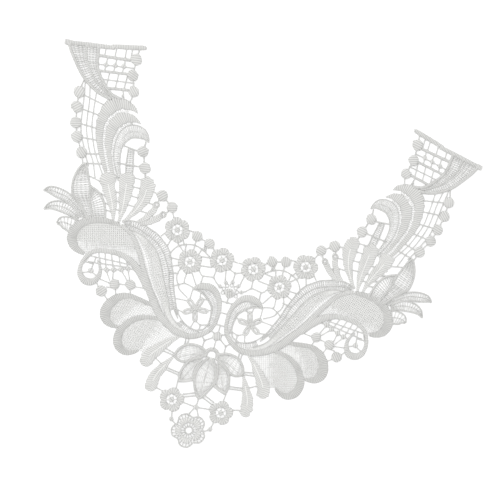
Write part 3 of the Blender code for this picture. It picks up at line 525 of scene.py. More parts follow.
END_BAR = [
    [(174.3, 269.6, 2), (171.5, 270, 2.2), (167, 270.8, 1.7), (150, 273.9, 1.8), (136, 276.2, 1.6)],
    [(138.5, 276.9, 1.3), (132, 278.4, 1.8), (122, 280.8, 1.9), (114.5, 282.8, 1.8), (111.8, 283.3, 1.1)],
]
HORN_EDGE = [
    (171, 269.5), (167.5, 263.5), (164, 259), (158.5, 252), (153, 246.5), (146, 241.8), (138, 238.3),
    (129, 236.8),
]
HORN_MIDDLE = [
    (157.5, 272.3), (155, 262), (151.5, 256), (146.5, 249.5), (141, 245), (134.5, 241), (129, 238.5),
]
HORN_INSIDE = [
    (148.3, 274.2), (146.5, 262), (144.5, 256), (141, 251), (137.5, 247), (134, 243.5), (129.5, 240.5),
    (122, 239),
]
END_BARS = [
    [(147, 267, 1.2), (122, 270.5, 1.2)],
    [(144, 255.5, 1), (121, 259.5, 1)],
    [(135, 244, 1.1), (118, 247.5, 1.1)],
]
END_THREADS = [
    (142.5, 276, 142.2, 268), (134.5, 277.5, 134.2, 269), (127, 279.5, 126.5, 270), (122.5, 280, 122, 271),
    (139.5, 268, 139.5, 256.5), (132.5, 269, 132.5, 257.5), (125.8, 270, 125.8, 258.5),
    (144, 260.5, 118, 265.3), (139, 250, 115.6, 253.8), (135.3, 256, 135.3, 246),
    (128.3, 257.5, 128.3, 245.5), (121.5, 258.5, 121.5, 247.5), (122, 246, 120, 240.3),
]
END_DOTS = [(139.5, 261.5, 1.9), (132.5, 263, 1.8), (125.8, 264.5, 1.9), (121.2, 242, 1)]
# Columns of balls: out, up, radius
END_BALLS = [(117.5, 272.5, 4.6), (117.3, 259.5, 4.3), (113.7, 247.5, 4.2)]
END_LINKS = [
    (117, 281, 117.3, 276.5), (117.5, 268.5, 117.4, 263), (116, 255.8, 114.7, 251),
    (113.6, 243.5, 114.6, 238.8),
]


def balls(rows, lean=0.3):
    """Stuffed balls, each turned further than the one before."""
    return [ball(*row, lean=lean + 0.5 * i) for i, row in enumerate(rows)]


def dots(rows):
    """Small flat balls, as at the crossings of the net."""
    return [ball(*row, rise=1.1) for row in rows]


def end_panel():
    return [
        *[satin(rows, pitch=CORD_PITCH, nip=0.15, relief=0.35) for rows in END_BAR],
        cord(HORN_EDGE, 1.2),
        cord(HORN_MIDDLE, 0.75, rise=LOW_RISE),
        cord(HORN_INSIDE, 1.2),
        rungs(HORN_EDGE, HORN_MIDDLE, 1.9, 0.54, bow=0.5, finish=LOOSE),
        rungs(HORN_MIDDLE, HORN_INSIDE, 1.9, 0.54, bow=0.5, finish=LOOSE),
        *[satin(rows, rise=LOW_RISE) for rows in END_BARS],
        *bars(END_THREADS, FINE + 0.06),
        *dots(END_DOTS),
        *balls(END_BALLS, 1.4),
        *bars(END_LINKS),
    ]


# The outer edge of each arm: balls on a thread, and a ladder behind them

OUTER_BALLS = [
    (154.3, 235.2, 4.5), (153.5, 223.3, 4.5), (151, 211.3, 4.4), (147.5, 200.8, 4.4), (141, 189.8, 4.4),
]
OUTER_ENDS = [(152.9, 246.2, 154.2, 239), (139.5, 186, 138, 182)]
LADDER_RAILS = [
    [(152, 245.5), (149.5, 230), (148.5, 222), (147, 212), (144.5, 203), (141, 196), (137, 188), (133, 181)],
    [(147.5, 242), (145, 230), (144, 221), (142.5, 211), (139.5, 202), (135.5, 193), (131, 186), (128, 179),
     (125.6, 172.8)],
    [(141.5, 239.5), (140.7, 229), (139.8, 221), (138.5, 212), (135.5, 203), (132, 195), (128.3, 188.5),
     (120.5, 177)],
]
LADDER_RUNGS = [
    (150, 233.8, 134.5, 231), (149, 223, 136, 222), (147, 211.5, 135.5, 211.5), (143, 201.5, 133, 202.5),
    (137, 190, 128.5, 192.5), (136.5, 182.5, 124.5, 185.5),
]


def chain(rows, lean=0.3):
    """Balls with a link of thread from each to the next."""
    links = [(a[0], a[1], b[0], b[1]) for a, b in zip(rows, rows[1:])]
    return balls(rows, lean) + bars(links)


def outer_balls():
    return chain(OUTER_BALLS) + bars(OUTER_ENDS)


def ladder():
    return [twisted(rail, 0.37) for rail in LADDER_RAILS] + bars(LADDER_RUNGS)


# The plumes of each arm, each between two edges from its tip down

PLUME_OUTER = [
    [(106, 232), (109, 236.4), (114.3, 239.3), (120.5, 240.3), (126.5, 238.8), (132, 234.8), (135, 228),
     (136, 220.5), (135.6, 213), (133.8, 205), (131.4, 199.5), (128.3, 193), (125, 187), (121.5, 181.5),
     (118.6, 177)],
    [(106.5, 231.5), (112.5, 232.8), (119, 231.2), (124, 227.8), (127.2, 222.7), (128.9, 217), (129, 211.2),
     (128, 205.2), (126.2, 199.3), (123.8, 193.5), (121, 187.6), (118.3, 182), (115.2, 176.5)],
]
PLUME_MIDDLE = [
    [(101.5, 224.8), (106.5, 228.8), (112.7, 230.4), (118.3, 229.2), (123, 225.8), (125.8, 221.2),
     (127, 215.8), (126.9, 209.8), (125.9, 204), (123.8, 198), (120.9, 191.3), (117.8, 185), (115.5, 181),
     (112.6, 176)],
    [(102.2, 224.4), (107.5, 224.4), (112.4, 222.5), (116.4, 218.7), (118.9, 213.5), (119.9, 208),
     (119.7, 202), (118.6, 196), (116.5, 190.5), (114.3, 185), (110.9, 178.5), (109.3, 175)],
]
PLUME_INNER = [
    [(91.9, 212), (94.1, 218), (98.1, 222), (103.6, 223.3), (108.6, 222.5), (113.2, 219.8), (116.2, 215.2),
     (117.8, 210.3), (118.3, 204.8), (118, 199.2), (116.9, 194), (114.7, 188.4), (112, 183), (109.3, 179),
     (107.6, 175)],
    [(91.7, 211.4), (95.8, 213.2), (101, 212.9), (105.8, 211.5), (109.4, 207.4), (111.1, 203),
     (111.1, 197.7), (110.2, 192), (109, 187.1), (107.1, 182.4), (106, 178.5), (105.2, 175)],
]
PLUME_INSET = 0.05
PLUME_STRIP_RAILS = [
    [(106.8, 204.3), (106.3, 198), (105.3, 190), (104, 184)],
    [(102.7, 203.9), (101.3, 198), (99.5, 190), (98.3, 183), (97.3, 178)],
]
PLUME_BALLS = [(95.2, 204.3, 4.3), (90.5, 192.2, 4.5)]
PLUME_BARS = [
    (99, 203.5, 111, 204.5), (95, 192, 111, 190), (95, 211.5, 95, 208), (93.5, 200.5, 92.3, 196.5),
    (89.5, 188.3, 88.6, 185.5),
]


def plume(edges):
    """Coarse stitches from edge to edge."""
    rows = between(*edges)
    rows[:, 2] -= PLUME_INSET
    return satin(rows, rise=LOW_RISE, pitch=COARSE_PITCH, points=8, relief=0.28)


def ladder_gap(edge_a, edge_b):
    """Thin rungs over the narrow gap between two plumes."""
    return rungs(edge_a[1:], edge_b[1:], 1.8, 0.3)


def middle_plume():
    gaps = [ladder_gap(PLUME_OUTER[1], PLUME_MIDDLE[0]), ladder_gap(PLUME_MIDDLE[1], PLUME_INNER[0])]
    return [plume(PLUME_MIDDLE), *gaps]


def inner_plume():
    """Openwork: a cord along each edge, and rungs from both that meet along the middle."""
    rows = between(*PLUME_INNER)
    reach = rows[:, 4:] * (rows[:, 2:3] - 0.5)
    outside, middle, inside = (rows[:, :2] - reach * share for share in (-1, 0.1, 1))
    made = [cord(outside[::2], 0.35, rise=0.4), cord(inside[::2], 0.4, rise=0.4)]
    made.append(rungs(outside, middle, 1.7, (0.46, 0.4)))
    made.append(rungs(middle, inside, 1.5, (0.52, 0.4)))
    made += [twisted(rail, 0.42) for rail in PLUME_STRIP_RAILS]
    made.append(rungs(*PLUME_STRIP_RAILS, 1.6, 0.4, finish=LOOSE))
    return made + chain(PLUME_BALLS, 0.9) + bars(PLUME_BARS, 0.5)


# The leaves at the shoulder bend

LEAF_OUTER_SIDE = [
    (133, 178), (136.5, 182), (139.8, 177), (141.5, 170), (141.3, 163), (139.3, 157), (134, 152.5),
    (130, 148.5), (126, 144), (123.2, 140.8),
]
LEAF_MIDDLE = [
    (133, 178), (130.3, 171.5), (128, 166), (126.5, 160), (125, 155), (122.5, 149), (120, 144.5),
    (117.5, 141),
]
LEAF_INNER_SIDE = [
    (127.5, 166.5), (122, 164.5), (117.5, 161), (114, 156.5), (111.8, 151), (110.4, 146), (109.5, 142.5),
]
EDGE_LEAVES = [
    [(161.5, 153, 0.6), (157, 154.8, 3.2), (150, 154.3, 4.3), (143, 153, 3.9), (136.5, 149.6, 3.2),
     (130.5, 145.6, 2.8), (126, 142.6, 2.4), (123, 140, 1.9)],
    [(157.5, 138.8, 0.6), (153.5, 142.8, 3), (148, 144.5, 4.3), (141, 144.3, 4.6), (135, 142.5, 3.6),
     (129.5, 139.3, 1.8)],
    [(145, 131, 1), (142, 133, 4.2), (138, 133.2, 5.6), (133.5, 132.6, 6), (130.5, 131, 5)],
]


def double_leaf():
    return [
        cord(LEAF_OUTER_SIDE, 0.9),
        cord(LEAF_MIDDLE, 0.75, rise=LOW_RISE),
        cord(LEAF_INNER_SIDE, 0.9),
        rungs(LEAF_OUTER_SIDE[1:], LEAF_MIDDLE, 1.6, LEAF_RUNG, finish=LOOSE),
        rungs(LEAF_MIDDLE[2:], LEAF_INNER_SIDE, 1.4, LEAF_RUNG, finish=LOOSE),
    ]


def edge_leaves():
    return [part for rows in EDGE_LEAVES for part in outlined_leaf(rows)]


# The fan of fingers. Columns: out, up, half

FINGER_A = [
    (116.5, 180, 0.6), (116, 176, 6), (115, 172, 5.9), (111.5, 165, 5), (108, 158, 3.7), (105.3, 151, 2),
    (103.8, 145.5, 1),
]
FINGER_B = [
    (102.5, 184.5, 1), (101.8, 181, 5), (101.2, 176, 6), (100.3, 169, 5.5), (99.6, 162, 4.6),
    (99.1, 155, 3.1), (99.2, 149, 1.6), (99.5, 145, 1),
]
FINGER_C = [
    (86.5, 186.3, 1), (86, 182.5, 4.3), (85, 177, 5.7), (85.2, 170, 5.5), (86.8, 163, 4.1),
    (89.5, 157, 2.9), (93, 151, 1.7), (96.5, 146, 1),
]
FINGER_D = [(75, 165.5, 1.9), (75.6, 161.9, 2.4), (79, 155.6, 2.4), (81.8, 152.3, 2), (85, 149.6, 1.4)]
FINGER_E = [(68.3, 160, 1.9), (69.7, 158.2, 2.3), (73.3, 154.3, 2.4), (78.2, 150.7, 2), (82.5, 148.3, 1.4)]
EYE_D, EYE_E = (74.4, 167.0), (67.4, 160.9)
BARS_LEAF_A = [
    (131, 174, 121, 172), (119, 163.5, 114, 162), (115, 157.5, 111, 156.5), (112, 152, 108, 151.5),
]
BARS_A_B = [(109, 167.8, 105, 167.8), (107, 160.8, 103.5, 160.8), (104.5, 154.3, 101.5, 154.3)]
BARS_B_C = [
    (97, 182.5, 90, 182.5), (95.5, 175.5, 90.5, 175.5), (95.5, 168, 90.5, 168), (95.5, 160.5, 90.8, 160.5),
]
BARS_C_D = [(82, 166.5, 76.8, 166.3), (84, 158.5, 80, 158.5), (80, 176, 75.5, 175.5)]
BARS_D_E = [(75.2, 157, 73, 156), (73.3, 172.2, 73.8, 169.5), (64, 165, 65.5, 162)]
SHOULDER_BALLS = [(71.8, 175, 4.5), (62, 168.5, 4.3)]


def small_fingers():
    fingers = eyelet_leaf(FINGER_D, EYE_D) + eyelet_leaf(FINGER_E, EYE_E)
    return fingers + chain(SHOULDER_BALLS, 0.8) + bars(BARS_C_D + BARS_D_E)


# The long stem and its scroll. Columns of the cord: out, up, half

STEM_CORD = [
    (97, 143.5, 1.6), (91, 141, 1.6), (86.5, 138, 1.7), (82, 133, 1.8), (79.3, 129, 1.8),
    (75.5, 123.5, 1.8), (72.5, 118, 1.9), (68.3, 110.5, 2.1), (65, 105, 2.5), (62, 100, 2.8), (58, 95, 3),
    (54.3, 90, 3.1), (49, 84, 3), (42.5, 78.8, 2.6), (35, 75, 2.4), (27, 73.2, 2.3), (19, 74, 2.2),
    (12.5, 77.5, 2), (7.5, 82, 1.8),
]
SCROLL_CORD = [
    (7.5, 82, 1.8), (4.9, 87.5, 1.5), (4, 94, 1.5), (4.3, 101, 1.6), (6.2, 107, 1.9), (9.8, 112, 2.4),
    (14, 114.8, 2.8), (19, 115.4, 2.9), (24.5, 113.8, 2.3), (29.3, 110.6, 0.5),
]
STEM_RIB = [
    (96, 141.8), (86, 141.8), (78, 140), (71, 136.5), (65, 131.5), (60.5, 125.5), (57, 119), (54.5, 113.5),
    (52.3, 109.5), (47.5, 100.5), (44.5, 95), (41.5, 88), (36.8, 82.8), (30, 78.5),
]
STEM_LINE = [
    (95, 145.5), (85, 145), (75, 142), (66, 138), (59, 131.5), (54, 124), (50.5, 117), (48.5, 110),
    (45.5, 103), (42, 96), (38.5, 90), (34, 84.5),
]
STEM_INSIDE = [
    (97, 147), (88, 149.5), (80, 148.8), (74, 147), (68, 145), (62, 141), (57, 137), (53, 131), (50, 124),
    (47, 117), (45, 110), (42.5, 104), (40, 98), (37, 92), (33, 86.5), (28, 82.5), (22, 80), (15, 79.3),
]
SCROLL_INSIDE = [
    (17.5, 79.6), (12.6, 81.6), (10.3, 85.5), (9.5, 90), (9.8, 95), (10.8, 100), (14, 104), (17.5, 107),
    (22, 109.8), (28.8, 110.6),
]
SCROLL_FLOOR = [(37.5, 78), (32, 76.3), (26.5, 75.3), (20, 75.8), (14, 78.3)]
# Heights and the width of the open strip there, from the foot up
STRIP_WIDTH = ([80.0, 90.0, 100.0, 110.0, 120.0, 130.0, 142.0], [1.0, 3.0, 3.0, 3.5, 4.5, 4.0, 1.5])
SCROLL_JOINTS = [(6.5, 107.5, 1, 107.5), (4.5, 98.5, 1, 98.5), (5, 88.5, 1, 88.5)]


def stem():
    """The cord, an open strip and a close net inside it, then two rows of rungs."""
    inner = offset(STEM_CORD[:-3], -1.0, 0.3)[12::8]
    open_edge = inner - aside(headings(inner)) * np.interp(inner[:, 1], *STRIP_WIDTH)[:, None]
    return [
        broad_cord(STEM_CORD),
        broad_cord(SCROLL_CORD),
        cord(STEM_RIB, 0.45, rise=LOW_RISE),
        twisted(STEM_LINE, FINE, VEIN_LEVEL),
        cord(STEM_INSIDE, 0.45, rise=LOW_RISE),
        cord(SCROLL_INSIDE, 0.55, rise=LOW_RISE),
        *ribbon_net(inner, open_edge, 2, 0.22, 1.8, 0.22),
        *ribbon_net(open_edge, STEM_RIB[1:], 5, 0.52, 2.0, 0.44),
        rungs(STEM_RIB[:-2], STEM_LINE, 1.6, (0.44, 0.34), finish=LOOSE),
        rungs(STEM_LINE, STEM_INSIDE[:-4], 1.6, (0.5, 0.26), finish=LOOSE),
        rungs(SCROLL_FLOOR, STEM_INSIDE[-5:], 1.8, 0.32, finish=LOOSE),
        rungs([row[:2] for row in SCROLL_CORD], SCROLL_INSIDE[1:], 1.6, 0.32, finish=LOOSE),
        *bars(SCROLL_JOINTS),
    ]


# The lobes below the stem. Columns: out, up, half

LOBE_TOP = [
    (98, 143.2, 1.6), (106, 143.6, 2.2), (114, 142.7, 2.6), (121, 140.3, 2.9), (126.8, 136, 3.3),
    (130.3, 130, 3.8), (131, 123.5, 3.9), (128, 118, 3.3), (123, 115, 2.3), (118.5, 114, 1.4),
]
LOBE_MIDDLE = [
    (57, 89.5, 1.5), (63, 90.3, 1.8), (69.5, 91.2, 1.9), (76, 91.3, 2.2), (82, 89, 2.9), (87, 84, 3.7),
    (89.8, 78, 4.1), (89.8, 72, 4.2), (86.5, 67.3, 3.2), (81.5, 65.3, 1.9), (77.5, 65.2, 1.2),
]
LOBE_LOW = [
    (48, 80, 1.3), (54, 79.8, 1.6), (61, 77.8, 1.9), (67.5, 74, 2.3), (72.5, 68, 2.7), (75.3, 61, 3.2),
    (74.5, 54, 3.4), (70.5, 49.3, 3.2), (65.5, 47.8, 2.5), (60.5, 49.3, 1.7), (57, 51.8, 1.1),
]
LOBE_TOP_REST = [
    (114, 115.5), (108, 119.2), (99.5, 121), (91, 121), (83, 118.8), (76, 114.3), (71, 109.5),
    (69.5, 112.5), (72.5, 118), (75.5, 123.5), (79.3, 129), (86.5, 138), (91, 141),
]
LOBE_MIDDLE_REST = [(72.5, 68), (67.5, 74), (61, 77.8), (54, 79.8), (49, 84), (54.3, 90)]
LOBE_LOW_REST = [
    (52, 50.5), (46, 53.5), (42, 57.5), (37.5, 62.5), (33, 67.5), (29, 71.5), (35, 75), (42.5, 78.8),
]
CURL_ARCH = [
    (64, 100, 2), (70, 108, 2.6), (76, 114.3, 3), (83, 118.8, 2.4), (91, 121, 2), (99.5, 121, 1.8),
    (108, 119.2, 1.6), (114, 115.5, 1.5), (117.6, 109.5, 1.5), (118.5, 102.5, 1.7), (116.8, 97, 2.3),
    (112, 93.6, 2.9), (106.5, 94.3, 2.7), (103.2, 99, 1.9), (102.8, 104, 1.4), (104.5, 108.5, 1),
    (107, 112, 0.6),
]
CURL_THREADS = [
    (115, 113.5, 81, 115.5), (104.5, 110, 82, 113), (108.5, 119, 104.5, 110.5), (103.5, 120.3, 99, 107),
    (98.5, 120.5, 93.5, 108.5), (92.5, 120.7, 88, 110), (86, 119, 83, 112.5), (102.5, 106, 98.5, 106.5),
    (98.5, 106.5, 93, 108), (93, 108, 87.5, 109.8), (87.5, 109.8, 82.5, 112), (82.5, 112, 76, 112.5),
    (98, 105, 94, 99.5), (93, 107, 92, 101.3), (86.5, 108.5, 80.5, 102.5), (82, 110.5, 79, 104),
    (101, 98, 93.5, 97), (85.5, 98.5, 81, 99), (73, 99.8, 65.5, 100.5), (102.5, 94, 101.5, 92.5),
    (94, 93.5, 91.5, 93.8), (94.5, 86.5, 92, 84.5), (87.5, 93.3, 86.5, 90.5), (76.5, 96.3, 75.5, 93.7),
    (110, 103, 109, 112.5), (110.5, 101.5, 116.5, 98.8), (109.5, 102, 104, 99.5), (113.5, 114, 117, 106.5),
    (113, 109, 106, 109.5), (117, 108, 110.5, 108),
]
CURL_DOTS = [(98.5, 106.5, 2), (93, 108, 2), (87.5, 109.8, 2), (82.5, 112, 1.9), (110, 102.5, 2.1)]
CURL_BALLS = [(97.8, 89.3, 4.3), (89.2, 97.2, 4), (77.2, 100.2, 4)]


def lobe(rows, rest, angle, thick, pitch=1.6):
    """A broad double cord round one side of a woven ground that thins out away from it."""
    outline = np.concatenate([smooth(rows)[:, :2], rest])
    band = satin(
        rows, rise=1.0, pitch=CORD_PITCH, crown=double_crown, points=11, edge=0.2, finish=DENSE, relief=0.22)
    return [band] + weave(outline, angle, pitch, thick)


def top_lobe():
    thick = zones((112, 140), (-4, -24), [(0, 0.56), (0.62, 0.56), (0.7, 0.19), (1, 0.16)])
    return lobe(LOBE_TOP, LOBE_TOP_REST, -0.28, thick, 1.5)


def middle_lobe():
    thick = zones((84, 84), (-18, -14), [(0, 0.33), (0.3, 0.45), (0.52, 0.45), (0.58, 0.19), (1, 0.17)])
    return lobe(LOBE_MIDDLE, LOBE_MIDDLE_REST, 0.28, thick)


def low_lobe():
    thick = zones((70, 66), (-30, -8), [(0, 0.29), (0.3, 0.41), (0.55, 0.44), (0.6, 0.16), (1, 0.14)])
    return lobe(LOBE_LOW, LOBE_LOW_REST, 0.28, thick)


def curl():
    arch = broad_cord(CURL_ARCH)
    return [arch] + bars(CURL_THREADS, FINE + 0.03) + dots(CURL_DOTS) + balls(CURL_BALLS, 0.7)


# The flowers of the neckline and the net round them

FLOWER_NECK = (53.5, 152.3, 10.2)
FLOWER_NET = (37.2, 130.8, 9.9)
FLOWER_MIDDLE = (13.0, 139.0, 10.0)
FLOWER_LOW = (20.4, 21.0, 10.0)
NECK_BARS = [
    (43.5, 154.5, 41, 154.5), (60.5, 164.5, 59, 161.5), (50.8, 142.8, 49.1, 140.9),
    (56.4, 142.8, 57.6, 138.5), (62, 147.4, 64, 144.9), (46.4, 145, 45.2, 142.8),
]
NET_BALLS = [(37, 151.8, 4.2), (26, 148.9, 4.1)]
NET_CURVES = [
    [(54, 131.2), (53.2, 134.6), (51, 138.5), (48, 141.2), (44.5, 142.8), (40.5, 144.1), (36.8, 144.4),
     (33, 143.8), (29.5, 142.5), (26.8, 141), (22.8, 138.6)],
    [(42.6, 123.6), (44.2, 119.4), (43.9, 115.9), (42.8, 113), (41.1, 110.8), (39.8, 107.9), (37, 105.8),
     (34.2, 104.3), (31.5, 102.8)],
    [(41.1, 110.8), (38.4, 112.2), (36.8, 112.9), (34, 112.8), (29.6, 111.8)],
    [(37.2, 121), (37.4, 118), (37.5, 115.5), (36.8, 112.9)],
    [(28.4, 126.4), (25.4, 123), (22.3, 123), (19, 123.5), (15.6, 123.7), (13.6, 121.6), (11, 119.4),
     (8.5, 118)],
    [(24.2, 122.8), (24.2, 119.5), (24.6, 115.5)],
]
NET_BARS = [
    (45.2, 137.9, 48.4, 140.6), (43.6, 143, 43.2, 139.2), (36.8, 144.2, 36.9, 140),
    (30.7, 142.8, 31.8, 139.4), (36.9, 148, 36.9, 144.6), (29.2, 145.8, 28.9, 142.6),
    (27.6, 144.8, 27.2, 141.6), (22.5, 146.8, 20.8, 144.5), (46.6, 129.9, 53.2, 129.7),
    (46.4, 125, 50.3, 123.5), (44.2, 119.2, 49.6, 118.4), (41.1, 110.8, 44.4, 108.4),
    (32.6, 121.8, 28.3, 115.2), (15.4, 129.2, 15.7, 123.8), (27.6, 130.2, 20, 131),
    (28.8, 137.3, 22, 138.1),
]
MIDDLE_BARS = [(7.5, 131, 6, 123), (3.5, 140.5, 1.2, 140.5)]
LOW_BARS = [(34.5, 27, 30, 26), (20, 36.5, 19.5, 30), (3.4, 31.4, 12, 28), (1.8, 29.4, 11, 25.8)]


def flower_net():
    curves = [twisted(points) for points in NET_CURVES]
    return rosette(*FLOWER_NET, start=0.5) + chain(NET_BALLS, 0.2) + curves + bars(NET_BARS)


# The flower of loops inside each scroll

LOOP_CENTRE = (22.7, 95.5)
LOOP_TIPS = [(19.5, 106), (30.8, 102), (32, 90), (20.5, 85.5), (12.2, 96.5)]
# Half the width of a loop and of its cord, and half its length as a share of the way to its tip
LOOP_WIDE = 2.8
LOOP_CORD = 0.95
LOOP_HALF = 0.46
SCROLL_BARS = [
    (30.5, 100.3, 40, 99.6), (17.5, 105, 15.5, 105.3), (13, 97, 10.5, 98), (31, 90.5, 37, 91.5),
    (20.8, 87, 22.5, 80.5), (21.6, 105, 22.2, 109.6), (29, 110.5, 29.2, 103.5), (15.4, 84.4, 9.5, 86.5),
    (15.4, 84.4, 15.6, 80), (15.4, 84.4, 20, 86.5),
]


def loop_flower():
    """Five petals, each a closed cord round an oval whose wide end is at the tip."""
    made = dots([(*LOOP_CENTRE, 1.6)])
    for tip in LOOP_TIPS:
        way = np.subtract(tip, LOOP_CENTRE)
        length = np.hypot(*way)
        way = way / length
        turn = np.linspace(0, 2 * np.pi, 14, endpoint=False)
        along = length * (1 - LOOP_HALF) + (length * LOOP_HALF - LOOP_CORD) * np.cos(turn)
        across = (LOOP_WIDE - LOOP_CORD) * np.sin(turn) * (0.8 + 0.2 * np.cos(turn))
        ring = np.array(LOOP_CENTRE) + way * along[:, None] + np.array([-way[1], way[0]]) * across[:, None]
        made.append(cord(ring, LOOP_CORD, rise=LOW_RISE, closed=True, finish=LOOSE))
    return made + bars(SCROLL_BARS, FINE + 0.04)


# The lotus, its fingers and the bottom of the collar

PETAL_SIDE_TOP = [(4.6, 65.2), (10.2, 67.6), (15.3, 68), (20, 67), (24.2, 64.2), (27.2, 60), (28.2, 55.4)]
PETAL_SIDE_FOOT = [(4, 62), (9.5, 59.8), (15.1, 56.3), (17.7, 54), (21.4, 52.6), (25.5, 53.4), (28.2, 55.4)]
PETAL_SIDE_VEIN = [(5.3, 62.5), (11.6, 61.1), (17.6, 59), (24.1, 55.8)]
PETAL_LOW_OUTER = [(6.5, 60), (10.5, 58), (15, 55.2), (18.2, 50.8), (19.8, 44.5), (19.9, 40), (19.3, 36.9)]
PETAL_LOW_INNER = [(6.5, 57.8), (8.2, 53), (9.2, 47), (9, 42), (9.6, 40.4), (14.6, 38.1), (19.3, 36.9)]
PETAL_LOW_VEIN = [(7, 57.8), (10, 53.1), (13.8, 46.2), (16.8, 39.4)]
PETAL_LOW_FOOT = [(9.6, 40.7), (14.6, 38.4), (19.2, 37.1)]
PETAL_MIDDLE_HALF = [
    (1.5, 61.5), (3.8, 58.5), (6, 54.5), (7.6, 49), (7.9, 44), (7.3, 40), (6, 36.4), (3.5, 31.8),
    (1.2, 28.6), (0, 27.6),
]
PETAL_CORD = 1.05
FINGER_G = [
    (28, 71.5, 0.8), (33, 67.5, 2), (38, 62, 3.6), (43, 56, 4.7), (47, 50, 5.3), (48.5, 45, 4.6),
    (49, 41.5, 1.5),
]
FINGER_H = [
    (29, 54.5, 1), (31.8, 49.5, 2.3), (35, 43, 3.6), (37.8, 37, 4.7), (39, 31, 5), (39.3, 26.5, 4),
    (39.5, 23.3, 1.2),
]
BARS_G_H = [(41, 49, 37.5, 47)]
BARS_PETAL_SIDE = [(21, 72.5, 21, 68), (23.5, 72.5, 23.2, 67), (36, 59, 29.5, 57.5), (37, 56.5, 29.5, 55.5)]
BARS_PETAL_LOW = [(31, 44.7, 20.5, 43.2), (30.5, 42.7, 20.5, 41.2)]
ARCH = [(4.5, 61.5, 1.2), (4.4, 65, 1.5), (2.8, 67.6, 1.6), (0, 68.4, 1.6)]
HEART_BALL = (0.0, 79.4, 3.7)
HEART_BARS = [(5, 82, 2, 81), (11.5, 76, 8.8, 73.5), (9, 68.5, 8.8, 73.5), (8.8, 73.5, 3, 77.5)]
HEART_AXIS = [(0, 88.2, 0, 82), (0, 77, 0, 70)]
DISC = (0.0, 115.2, 3.8)
SPOT_RING = 1.8
# The ring of eyelets: height of its centre, radius, and an eyelet's own radius and half width
EYELET_RING = (116.0, 5.7, 1.35, 0.3)
EYELET_ANGLES = (-108, -74, -38, 0, 38, 74, 108)
DISC_DOTS = [(5.3, 122.6, 1.6), (8.9, 118.5, 1.6)]
DISC_TOP_DOT = (0.0, 124.4, 1.6)
DISC_BARS = [(4.3, 133.3, 0, 131.8)]
DISC_AXIS = [(0, 112.5, 0, 107.3), (0, 124, 0, 131.8)]
BOTTOM_CENTRE = (0.0, 0.8)
BOTTOM_LOBES, BOTTOM_START = 5, math.radians(54)
# Each radius has the dip between two lobes after it, and a cord's half width after that. The
# spokes run from one radius to the other, and the links from one lobed ring to the other
BOTTOM_RIM = (13.8, 3.0, 0.5)
BOTTOM_HOLE = (3.0, 0.0, 0.5)
BOTTOM_PETALS = (10.8, 3.6)
PETAL_INSIDE = 5.8
BOTTOM_SPOKES = (3.9, 6.6)
BOTTOM_LINKS = ((10.6, 2.6), (13.4, 3.0))
BOTTOM_DOTS = [(16, 6, 1.8)]
BOTTOM_BARS = [(17, 10.8, 16.3, 7.5), (14.5, 4.8, 11.5, 3), (11, 21.3, 1, 20.4), (1, 19.5, 4.2, 13)]
BOTTOM_EYE = (0.0, 20.3, 1.9)
BOTTOM_AXIS = [(0, 21, 0, 28)]


def mirrored(part):
    """The part's mirror image: out changes its sign, and each face is turned over."""
    points, faces, *rest = part
    return points * (-1, 1, 1), faces[:, ::-1], *rest


def both(parts):
    """The parts and their mirror images."""
    return parts + [mirrored(part) for part in parts]


def petal(edge_a, edge_b, vein, lanes=8):
    """A petal of the lotus: a cord along both sides, a vein and long stitches between them."""
    cords = [cord(edge, PETAL_CORD) for edge in (edge_a, edge_b)]
    middle = cord(vein, 0.3, rise=0.2, finish=LOOSE)
    return cords + [middle] + ribbon_net(edge_a, edge_b, lanes, 0.26, 2.6, 0.18)


def low_petal():
    """The petal beside the middle one, with a broad foot."""
    foot = cord(PETAL_LOW_FOOT, 1.4)
    return petal(PETAL_LOW_OUTER, PETAL_LOW_INNER, PETAL_LOW_VEIN) + [foot] + bars(BARS_PETAL_LOW)


def lotus_middle():
    left = [(-x, y) for x, y in PETAL_MIDDLE_HALF]
    rib = [(0, 60), (0, 46), (0, 29)]
    return petal(PETAL_MIDDLE_HALF, left, rib, 12)


def heart():
    return both([satin(ARCH)] + bars(HEART_BARS)) + [ball(*HEART_BALL)] + bars(HEART_AXIS)


def disc_flower():
    """A small spotted disc with seven eyelets round its top, and dots beyond them."""
    spots = [(SPOT_RING * math.sin(a), DISC[1] + SPOT_RING * math.cos(a), 0.7)
             for a in np.arange(6) * math.pi / 3]
    height, reach, radius, half = EYELET_RING
    eyelets = []
    for angle in np.radians(EYELET_ANGLES):
        centre = np.array([reach * math.sin(angle), height + reach * math.cos(angle)])
        eyelets.append(cord(centre + radius * circle(12), half, rise=0.3, closed=True))
    middle = [ball(*DISC, rise=1.2), *dots([DISC_TOP_DOT]), *eyelets]
    sides = both(dots(DISC_DOTS) + bars(DISC_BARS))
    return sides + middle + bars(DISC_AXIS) + [ball(*spot, rise=2.1) for spot in spots]


def lobed_ring(radius, notch, count=60):
    """Points round the bottom flower, drawn in by notch between its lobes."""
    turn = np.linspace(0, 2 * np.pi, count, endpoint=False)
    reach = radius - notch * (0.5 - 0.5 * np.cos(BOTTOM_LOBES * (turn - BOTTOM_START))) ** 2
    return np.array(BOTTOM_CENTRE) + reach[:, None] * circle(count)


def lobed_cord(radius, notch, half, count=60):
    """A closed cord round the bottom flower."""
    return cord(lobed_ring(radius, notch, count), half, rise=LOW_RISE, closed=True)


